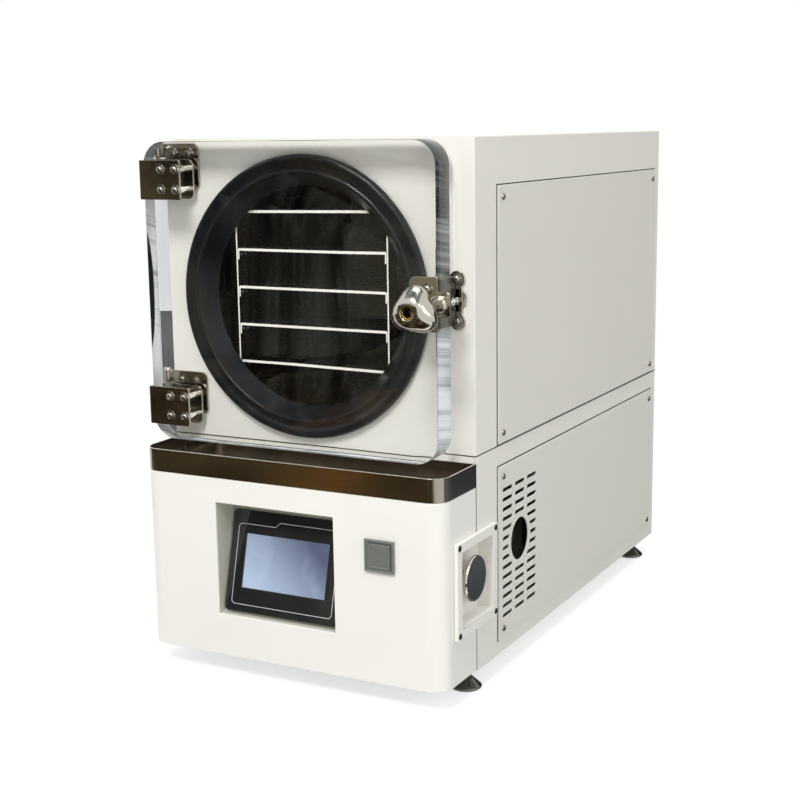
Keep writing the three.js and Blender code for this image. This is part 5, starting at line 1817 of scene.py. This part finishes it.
@dataclass
class Door(SubAssembly):
    """The thick clear door."""

    corner: float = mm(28)
    corner_steps: int = 24
    polish: float = mm(1.1)
    polish_steps: int = 3
    hole: float = mm(4)
    hole_facets: int = 24

    def build(self) -> None:
        """Cut the slab and its holes and polish its edges, whose colour is painted light."""
        box, latch_z = Box.of("door_panel"), Box.of("latch_bracket").centre.z
        holes = [(box.low.x + x, Box.of(clamp).low.z + z)
                 for clamp in ("hinge_clamp_upper", "hinge_clamp_lower") for x, z in CLAMP_HOLES]
        holes += [(box.high.x - LATCH_HOLE_INSET, latch_z + side * LATCH_HOLE_RISE)
                  for side in (-1, 1)]
        # The edge faces' colour is painted light: piped light, reflections, shade at the top and
        # the gasket's reflection.
        edge = PolishedEdge("acrylic_edge_painted_light", "F3F6F8", 0.3, crown=box.high.z,
                            hinge_side=box.low.x, shade_centre=(box.low.y, latch_z))
        self.stand_for("door_panel", self.slab(box, holes), Coat.ACRYLIC,
                       Easing(width=0.0, smooth=20), edge)

    def outline(self, box: Box, inset: float) -> list[Point]:
        """Give the corners of the rounded outline.

        Args:
            box: The slab's box.
            inset: How far inside the slab's sides the outline runs.

        Returns:
            Across and up at each corner, in order.
        """
        r, steps = self.corner, self.corner_steps
        left, right, bottom, top = box.low.x + r, box.high.x - r, box.low.z + r, box.high.z - r
        corners = ((right, top, 0), (left, top, 90), (left, bottom, 180), (right, bottom, 270))
        return [point for x, z, start in corners
                for point in arc_points(x, z, r - inset, start, start + 90, steps)]

    def slab(self, box: Box, holes: Sequence[Point]) -> Shape:
        """Cut a rounded slab with polished edges and round holes through it.

        Args:
            box: The slab's box.
            holes: Where each hole is, across and up.

        Returns:
            The closed shape; its edge has the second finish.
        """
        shape = bmesh.new()
        e, steps, facets = self.polish, self.polish_steps, self.hole_facets
        turns = [math.radians(90 / steps * i) for i in range(steps + 1)]
        round_edge = [(e * (1 - math.sin(t)), e * (1 - math.cos(t))) for t in turns]
        section = [(box.low.y + inwards, inset) for inwards, inset in reversed(round_edge)]
        section += [(box.high.y - inwards, inset) for inwards, inset in round_edge]
        rings = [[shape.verts.new((x, y, z)) for x, z in self.outline(box, inset)]
                 for y, inset in section]
        last = 360 - 360 / facets
        bores = [[[shape.verts.new((x, y, z))
                   for x, z in arc_points(*hole, self.hole, 0, last, facets - 1)]
                  for y in (box.low.y, box.high.y)] for hole in holes]
        for stack in (rings, *bores):
            for one, two in zip(stack, stack[1:]):
                join_rings(shape, one, two)
        for end in (0, -1):
            loops = [stack[end] for stack in (rings, *bores)]
            edges = [shape.edges.get((loop[i - 1], loop[i]))
                     for loop in loops for i in range(len(loop))]
            bmesh.ops.triangle_fill(shape, use_beauty=True, use_dissolve=False, edges=edges)
        bmesh.ops.recalc_face_normals(shape, faces=shape.faces)
        width, slack = section[steps + 1][0] - section[steps][0], mm(0.01)
        for face in shape.faces:
            places = [v.co.y for v in face.verts]
            if abs(max(places) - min(places) - width) < slack:
                face.material_index = 1
        return shape


@dataclass
class Hinge(SubAssembly):
    """One hinge: clamp, leaf, pin and their screws."""

    label: str = "upper"
    sheet: float = mm(2)
    leaf_plate: float = mm(2.9)
    leaf_columns: Point = (mm(12), mm(34))
    leaf_rise: float = mm(40.5)
    clamp_plate: float = mm(3.3)

    def build(self) -> None:
        """Ease the plates and set the bolts through the door."""
        clamp, leaf = (f"hinge_{part}_{self.label}" for part in ("clamp", "leaf"))
        self.soften(clamp, Coat.HARDWARE, mm(0.3), 3)
        self.soften(leaf, Coat.HARDWARE, mm(0.55), 3)
        self.soften(f"hinge_pin_{self.label}", Coat.CHROME, mm(0.3))
        door, low, leaf_box = Box.of("door_panel"), Box.of(clamp).low, Box.of(leaf)
        bolts = [Vector((door.low.x + x, low.y, low.z + z)) for x, z in CLAMP_HOLES]
        nuts = [Vector((p.x, door.high.y + self.clamp_plate, p.z)) for p in bolts]
        left, front = Box.of("upper_housing").low.x + self.sheet, leaf_box.high.y - self.leaf_plate
        screws = [Vector((left + x, front, leaf_box.low.z + self.leaf_rise))
                  for x in self.leaf_columns]
        for name, body, kind, facing, points, seed in (
                ("bolts", "door", ScrewKind.BOLT, Facing.FRONT, bolts, 11),
                ("nuts", "door", ScrewKind.HINGE, Facing.BACK, nuts, 12),
                ("leaf_screws", "cabinet", ScrewKind.HINGE, Facing.FRONT, screws, 13)):
            self.screws(f"hinge_{name}_{self.label}", body, kind, facing, points, seed)


# ---------------------------------------------------------------- latch


@dataclass
class Latch(SubAssembly):
    """The bracket and keeper, the threaded rod and the cast hand knob.

    The knob's stations give the distance behind its face, the radius and how far its lobes
    stand out, in millimetres. The bush's lip gives depth and radius from its hole outwards.
    """

    knob_lobes: int = 3
    lobe_turn: float = math.radians(86)
    knob_facets: int = 132
    steps: int = 4
    bore: float = mm(5.2)
    bore_depth: float = mm(16)
    bush_lip: tuple[Point, ...] = ((mm(1.6), mm(5.2)), (mm(1.2), mm(5.6)), (mm(1.0), mm(7.3)),
                                   (mm(0.4), mm(7.6)))
    rod_hole: float = mm(3.75)
    rod_depth: float = mm(60)
    stations: tuple[Place, ...] = (
        (0.0, 8.2, 0.0), (0.3, 10.4, 0.0), (1.3, 13.6, 0.1), (3.2, 16.6, 0.4), (6.0, 19.4, 1.1),
        (9.5, 21.9, 2.2), (13.5, 23.7, 3.1), (18.0, 24.3, 3.4), (22.5, 23.6, 3.1),
        (27.0, 21.2, 2.2), (31.5, 17.2, 1.1), (37.0, 12.8, 0.3), (45.0, 10.0, 0.0),
        (55.0, 8.6, 0.0), (66.0, 8.1, 0.0), (69.8, 8.8, 0.0), (71.2, 10.4, 0.0),
        (73.4, 10.5, 0.0), (74.0, 9.9, 0.0))
    thread_radius: float = mm(4)
    thread_pitch: float = mm(3.2)
    thread_rise: float = mm(0.75)
    thread_ends: Point = (mm(5), mm(2))
    well: float = mm(13.4)
    well_wall: float = mm(2.1)
    well_depth: float = mm(9)
    well_rim: Point = (mm(0.1), mm(0.4))
    lug_inset: float = mm(9.5)

    def build(self) -> None:
        """Ease the plates, cut the thread, cast the knob and close the well."""
        # The bracket's right-facing faces take the dark chrome as painted shade.
        bracket = copy_of("latch_bracket")
        second_finish(bracket, Facing.RIGHT)
        self.stand_for("latch_bracket", bracket, Coat.HARDWARE, Easing(mm(0.55), 3),
                       Coat.DARK_CHROME_AND_SHADE)
        self.soften("latch_keeper", Coat.HARDWARE, mm(0.55), 3)
        self.soften("latch_rod", Coat.CHROME, mm(0.25))
        # The knob's bore takes black as painted shade inside the hole.
        self.stand_for("latch_knob", self.cast_knob(), Coat.CAST_CHROME,
                       Easing(width=0.0, smooth=48), Coat.BRASS, Coat.BLACK_PLASTIC_AND_SHADE)
        self.thread()
        self.head_well()
        self.fasteners()

    def cast_knob(self) -> Shape:
        """Loft the domed, lobed and waisted hand knob with its bore and its hole for the rod.

        Returns:
            The closed shape; the bush has the second finish and the bore the third, black as
            painted shade.
        """
        rod, face = Box.of("latch_rod").centre, Box.of("latch_knob").low.y
        mouth = [(self.bore_depth, self.bore), *self.bush_lip]
        rows = [(behind, radius, 0.0) for behind, radius in mouth]
        rows += [tuple(mm(value) for value in row)
                 for row in smooth_stations(self.stations, self.steps)]
        back = rows[-1][0]
        rows += [(back, self.rod_hole, 0.0),
                 (back - self.rod_depth + self.bore_depth, self.rod_hole, 0.0)]
        shape = bmesh.new()
        turns = [math.tau * i / self.knob_facets for i in range(self.knob_facets)]
        rings = []
        for behind, radius, lobe in rows:
            reaches = [radius + lobe * math.cos(self.knob_lobes * (t - self.lobe_turn))
                       for t in turns]
            rings.append([shape.verts.new((rod.x + reach * math.cos(t), face + behind,
                                           rod.z + reach * math.sin(t)))
                          for reach, t in zip(reaches, turns)])
        bore = {vert for ring in rings[:2] for vert in ring}
        bush = {vert for ring in rings[1:len(mouth)] for vert in ring}
        skin(shape, rings, False)
        for item in shape.faces:
            corners = set(item.verts)
            item.material_index = 2 if corners <= bore else 1 if corners <= bush else 0
        return shape

    def thread(self) -> None:
        """Wind the coarse thread on the rod between the bracket and the keeper."""
        rod, (near, far) = Box.of("latch_rod").centre, self.thread_ends
        start, end = Box.of("latch_bracket").low.y + near, Box.of("latch_keeper").low.y - far
        piece = self.make("latch_rod_thread", self.fitter.thread,
                          points_mesh("thread", [Vector((rod.x, start, rod.z))]), Coat.CHROME, {
                              "Radius": self.thread_radius, "Pitch": self.thread_pitch,
                              "Turns": (end - start) / self.thread_pitch,
                              "Depth": self.thread_rise, "Facing": Facing.BACK.value}, smooth=60)
        self.fit(piece, self.fitter.body["latch_rod"], "chrome")

    def head_well(self) -> None:
        """Close the round hole behind the keeper with a painted cup."""
        rod, front = Box.of("latch_rod").centre, Box.of("upper_housing").low.y
        outer, inner, depth = self.well, self.well - self.well_wall, self.well_depth
        outer_rim, inner_rim = self.well_rim
        floor = depth - self.well_wall
        profile = [(0.0, depth), (outer, depth), (outer, outer_rim), (inner, inner_rim),
                   (inner, floor), (0.0, floor)]
        shape = turned(profile, Vector((rod.x, front, rod.z)))
        piece = eased("latch_well", to_mesh("latch_well", shape), Easing(width=0.0),
                      self.coat(Coat.CABINET))
        self.fit(piece, "cabinet", self.fitter.slot["upper_housing"])

    def fasteners(self) -> None:
        """Set the bracket's and the keeper's screws."""
        door, bracket, keeper = (Box.of(n) for n in ("door_panel", "latch_bracket", "latch_keeper"))
        middle, reach = keeper.centre.z, keeper.size.z / 2 - self.lug_inset
        ears = [Vector((door.high.x - LATCH_HOLE_INSET, bracket.low.y,
                        middle + side * LATCH_HOLE_RISE)) for side in (-1, 1)]
        self.screws("latch_bracket_screws", "door", ScrewKind.BOLT, Facing.FRONT, ears, seed=21)
        lugs = [Vector((keeper.centre.x, keeper.low.y, middle + side * reach))
                for side in (-1, 1)]
        self.screws("latch_keeper_screws", "cabinet", ScrewKind.HINGE, Facing.FRONT, lugs,
                    seed=22)


# ---------------------------------------------------------------- feet and machinery


@dataclass
class LevellingFeet(SubAssembly):
    """The four flared feet with their jam nuts and studs."""

    def build(self) -> None:
        """Ease each foot."""
        for place in ("front_left", "front_right", "rear_left", "rear_right"):
            self.soften(f"foot_{place}", Coat.DARK_CHROME_AND_SHADE, mm(0.4))


@dataclass
class Refrigeration(SubAssembly):
    """Compressor, condenser and fan."""

    fins: int = 43
    fin: float = mm(0.3)
    fin_inset: float = mm(1)
    fin_foot: float = mm(12)
    first_gap: float = mm(9)
    last_gap: float = mm(11)

    def build(self) -> None:
        """Ease the housings and stack the condenser's fins."""
        self.soften("compressor", Coat.DARK_STEEL, mm(0.5), limit=50)
        self.soften("fan_shroud", Coat.DARK_STEEL, mm(0.3))
        self.soften("fan_motor", Coat.DARK_STEEL, mm(0.6))
        self.soften("fan_rotor", Coat.BLACK_PLASTIC_AND_SHADE, mm(0.3))
        self.soften("condenser", Coat.ZINC, 0.0)
        self.fin_stack()

    def fin_stack(self) -> None:
        """Stack thin fins between the condenser's end plates."""
        box = Box.of("condenser")
        first, last = box.low.y + self.first_gap, box.high.y - self.last_gap
        step = (last - first) / self.fins
        piece = self.make("condenser_fins", self.fitter.stack, points_mesh("fins", [box.centre]),
                          Coat.ZINC, {
                              "Plate": (box.size.x - 2 * self.fin_inset, self.fin,
                                        box.size.z - 2 * self.fin_foot),
                              "Start": (box.centre.x, first + step / 2, box.centre.z),
                              "Step": (0.0, step, 0.0), "Count": self.fins})
        self.fit(piece, "cabinet", "zinc")


@dataclass
class Services(SubAssembly):
    """Control box, mains inlet and pipes."""

    def build(self) -> None:
        """Ease the box, the inlet and the pipes."""
        self.soften("control_box", Coat.ZINC, mm(0.6))
        self.soften("power_inlet", Coat.BLACK_PLASTIC_AND_SHADE, mm(0.3))
        self.soften("vacuum_pipe", Coat.STAINLESS, mm(0.3), limit=60)
        self.soften("drain_pipe", Coat.BLACK_PLASTIC_AND_SHADE, 0.0)


# ---------------------------------------------------------------- studio


@dataclass(frozen=True)
class Lamp:
    """A soft square lamp: its place, what it looks at, its size and its power."""

    name: str
    place: Place
    aim: Place
    size: float
    power: float

    def hang(self) -> None:
        """Hang the lamp where the camera doesn't see it."""
        data = bpy.data.lights.new(self.name, "AREA")
        data.shape = "SQUARE"
        data.size = self.size
        data.energy = self.power
        item = bpy.data.objects.new(self.name, data)
        item.location = self.place
        turn = (Vector(self.aim) - Vector(self.place)).to_track_quat("-Z", "Y")
        item.rotation_euler = turn.to_euler()
        item.visible_camera = False
        bpy.context.scene.collection.objects.link(item)


@dataclass(frozen=True)
class Card:
    """A toned card that only reflections and the view through the clear door meet.

    Grain is how fine its patches are, and upright how far they are drawn out upwards.
    """

    name: str
    place: Place
    aim: Place
    width: float
    height: float
    tones: tuple[str, str, str]
    grain: float = 1.6
    upright: float = 1.0
    steps: Place = (0.36, 0.5, 0.64)

    def mix(self) -> Material:
        """Tone the card with soft patches.

        Returns:
            The material.
        """
        material, bench = blank_material(self.name)
        place = bench.add("ShaderNodeTexCoord").outputs["Object"]
        drawn = bench.add("ShaderNodeMapping", {"Vector": place,
                                                "Scale": (1.0, 1.0, self.upright)}).outputs[0]
        patches = bench.noise(drawn, self.grain, detail=3.0, roughness=0.6, distortion=0.6)
        colour = bench.ramp(patches, list(zip(self.steps, self.tones)))
        glow = bench.add("ShaderNodeEmission", {"Color": colour, "Strength": 1.0})
        bench.add("ShaderNodeOutputMaterial", {"Surface": glow.outputs[0]})
        return material

    def stand(self) -> None:
        """Stand the card in the studio."""
        mesh = flat_mesh(self.name, self.width / 2, self.height / 2)
        item = new_object(self.name, mesh, self.mix())
        turn = (Vector(self.aim) - Vector(self.place)).to_track_quat("Z", "Y")
        mesh.transform(Matrix.Translation(self.place) @ turn.to_matrix().to_4x4())
        item.visible_camera = False
        item.visible_diffuse = False
        item.visible_shadow = False


@dataclass
class Studio:
    """Camera, floor, lamps and backdrop."""

    camera_place: Place = (0.8669, -1.67927, 0.64208)
    azimuth: float = 28.06
    dip: float = 10.74
    roll: float = -0.84
    lens: float = 64.72
    clip: Point = (0.05, 60.0)
    sky: float = 0.64
    lamps: tuple[Lamp, ...] = (
        Lamp("key_lamp", (0.25, -2.45, 2.6), (0.0, -0.2, 0.35), 0.8, 56.0),
        Lamp("top_lamp", (0.3, 0.0, 2.6), (0.0, 0.0, 0.4), 1.6, 14.0),
        Lamp("side_lamp", (2.8, -0.6, 1.4), (0.0, 0.0, 0.3), 1.2, 9.0),
        Lamp("strip_lamp", (1.7, -1.5, 1.75), (0.0, 0.0, 0.45), 0.3, 2.4),
    )
    cards: tuple[Card, ...] = (
        Card("front_card", (-1.3, -2.3, 0.45), (-1.3, 0.0, 0.45), 3.6, 1.1,
             ("16130F", "38312A", "7C7056"), grain=3.0, upright=0.5),
        Card("window_card", (-1.22, -2.25, 0.27), (-1.22, 0.0, 0.27), 0.62, 0.5,
             ("1C1B19", "6E6A60", "CFCCC2"), grain=9.0, upright=0.12),
        Card("pale_card", (-0.80, -2.2, 0.45), (-0.80, 0.0, 0.45), 0.42, 0.6,
             ("8A8674", "B2AD98", "CFCAB5")),
        Card("front_mat", (-1.0, -1.9, 0.002), (-1.0, -1.9, 1.0), 3.4, 3.0,
             ("16130F", "3E372A", "847656"), grain=3.2),
        Card("gold_mat", (-0.46, -1.22, 0.004), (-0.46, -1.22, 1.0), 0.15, 0.36,
             ("3A2814", "8A6230", "C08A48"), grain=9.0),
        Card("ceiling_card", (0.0, 0.0, 3.3), ORIGIN, 5.0, 5.0, ("5F666D", "8F969C", "BFC5C9")),
        Card("brown_mat", (0.83, 1.15, 0.005), (0.83, 1.15, 1.0), 0.36, 0.5,
             ("1A130C", "33261A", "4E3D2C"), grain=6.0),
        Card("right_card", (1.05, 1.5, 0.5), (0.2, 0.0, 0.45), 1.9, 1.1,
             ("1D1B1A", "3B3834", "6B6459"), grain=2.6),
        Card("right_mat", (0.90, 0.75, 0.002), (0.90, 0.75, 1.0), 1.38, 2.1,
             ("3E444A", "5E656B", "858A8E")),
        Card("rear_card", (-0.93, 0.95, 0.705), (-0.25, 0.0, 0.705), 0.9, 0.9,
             ("D6D8DA", "DFE1E2", "E8E9EA")),
        Card("rear_dark_card", (-0.97, 1.02, 0.15), (-0.25, 0.0, 0.15), 0.9, 0.30,
             ("4C4F50", "606363", "747675")),
    )
    floor_reach: float = 14.0
    floor_tone: float = 0.55
    floor_lift: float = 0.62
    floor_fade: Point = (0.55, 1.5)
    seen: tuple[str, ...] = ("Camera", "Glossy", "Transmission")

    def build(self) -> None:
        """Set up the whole studio."""
        bpy.context.scene.view_settings.view_transform = "Standard"
        self.set_camera()
        for lamp in self.lamps:
            lamp.hang()
        for card in self.cards:
            card.stand()
        self.light_sky()
        self.lay_floor()

    def set_camera(self) -> None:
        """Set the camera where the machine is looked at from."""
        data = bpy.data.cameras.new("camera")
        data.sensor_width = 36.0
        data.lens = self.lens
        data.clip_start, data.clip_end = self.clip
        camera = bpy.data.objects.new("camera", data)
        camera.matrix_world = (Matrix.Translation(self.camera_place)
                               @ (Matrix.Rotation(math.radians(self.azimuth), 4, "Z")
                                  @ Matrix.Rotation(math.radians(90 - self.dip), 4, "X")
                                  @ Matrix.Rotation(math.radians(self.roll), 4, "Z")))
        bpy.context.scene.collection.objects.link(camera)
        bpy.context.scene.camera = camera

    def light_sky(self) -> None:
        """Light the room evenly and keep the background white."""
        world = bpy.data.worlds.new("room")
        bpy.context.scene.world = world
        world.use_nodes = True
        bench = NodeBench(world.node_tree)
        bench.tree.nodes.clear()
        strength = bench.spread(bench.rays(*self.seen), 0.0, 1.0, self.sky, 1.0)
        light = bench.add("ShaderNodeBackground", {"Color": WHITE, "Strength": strength})
        bench.add("ShaderNodeOutputWorld", {"Surface": light.outputs[0]})

    def lay_floor(self) -> None:
        """Lay a pale floor that keeps the shadow and fades into the background."""
        mesh = flat_mesh("floor", self.floor_reach, self.floor_reach)
        material, bench = blank_material("floor")
        place = bench.add("ShaderNodeTexCoord").outputs["Object"]
        far = bench.add("ShaderNodeVectorMath", {0: place}, operation="LENGTH").outputs["Value"]
        seen, tone = bench.rays(*self.seen), self.floor_tone
        matt = bench.add("ShaderNodeBsdfPrincipled", {
            "Base Color": (tone, tone, tone, 1.0), "Roughness": 0.9, "Emission Color": WHITE,
            "Emission Strength": bench.times(seen, self.floor_lift)})
        white = bench.add("ShaderNodeEmission", {"Color": WHITE, "Strength": 1.0})
        share = bench.times(bench.spread(far, *self.floor_fade), seen)
        blend = bench.add("ShaderNodeMixShader", {0: share, 1: matt.outputs[0],
                                                  2: white.outputs[0]})
        bench.add("ShaderNodeOutputMaterial", {"Surface": blend.outputs[0]})
        new_object("floor", mesh, material)


def main() -> None:
    """Build every sub-assembly, then the studio."""
    logging.basicConfig(level=logging.INFO, format="%(message)s")
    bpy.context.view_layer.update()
    fitter = Fitter()
    assemblies = [CabinetShell(fitter), FrontCover(fitter), TouchScreen(fitter),
                  StartButton(fitter), VentValve(fitter), VacuumChamber(fitter), Door(fitter),
                  Hinge(fitter, label="upper"), Hinge(fitter, label="lower"), Latch(fitter),
                  LevellingFeet(fitter), Refrigeration(fitter), Services(fitter)]
    for assembly in assemblies:
        assembly.build()
        log.info("%s done: %d pieces", type(assembly).__name__, len(assembly.pieces))
    Studio().build()


if __name__ == "__main__":
    main()
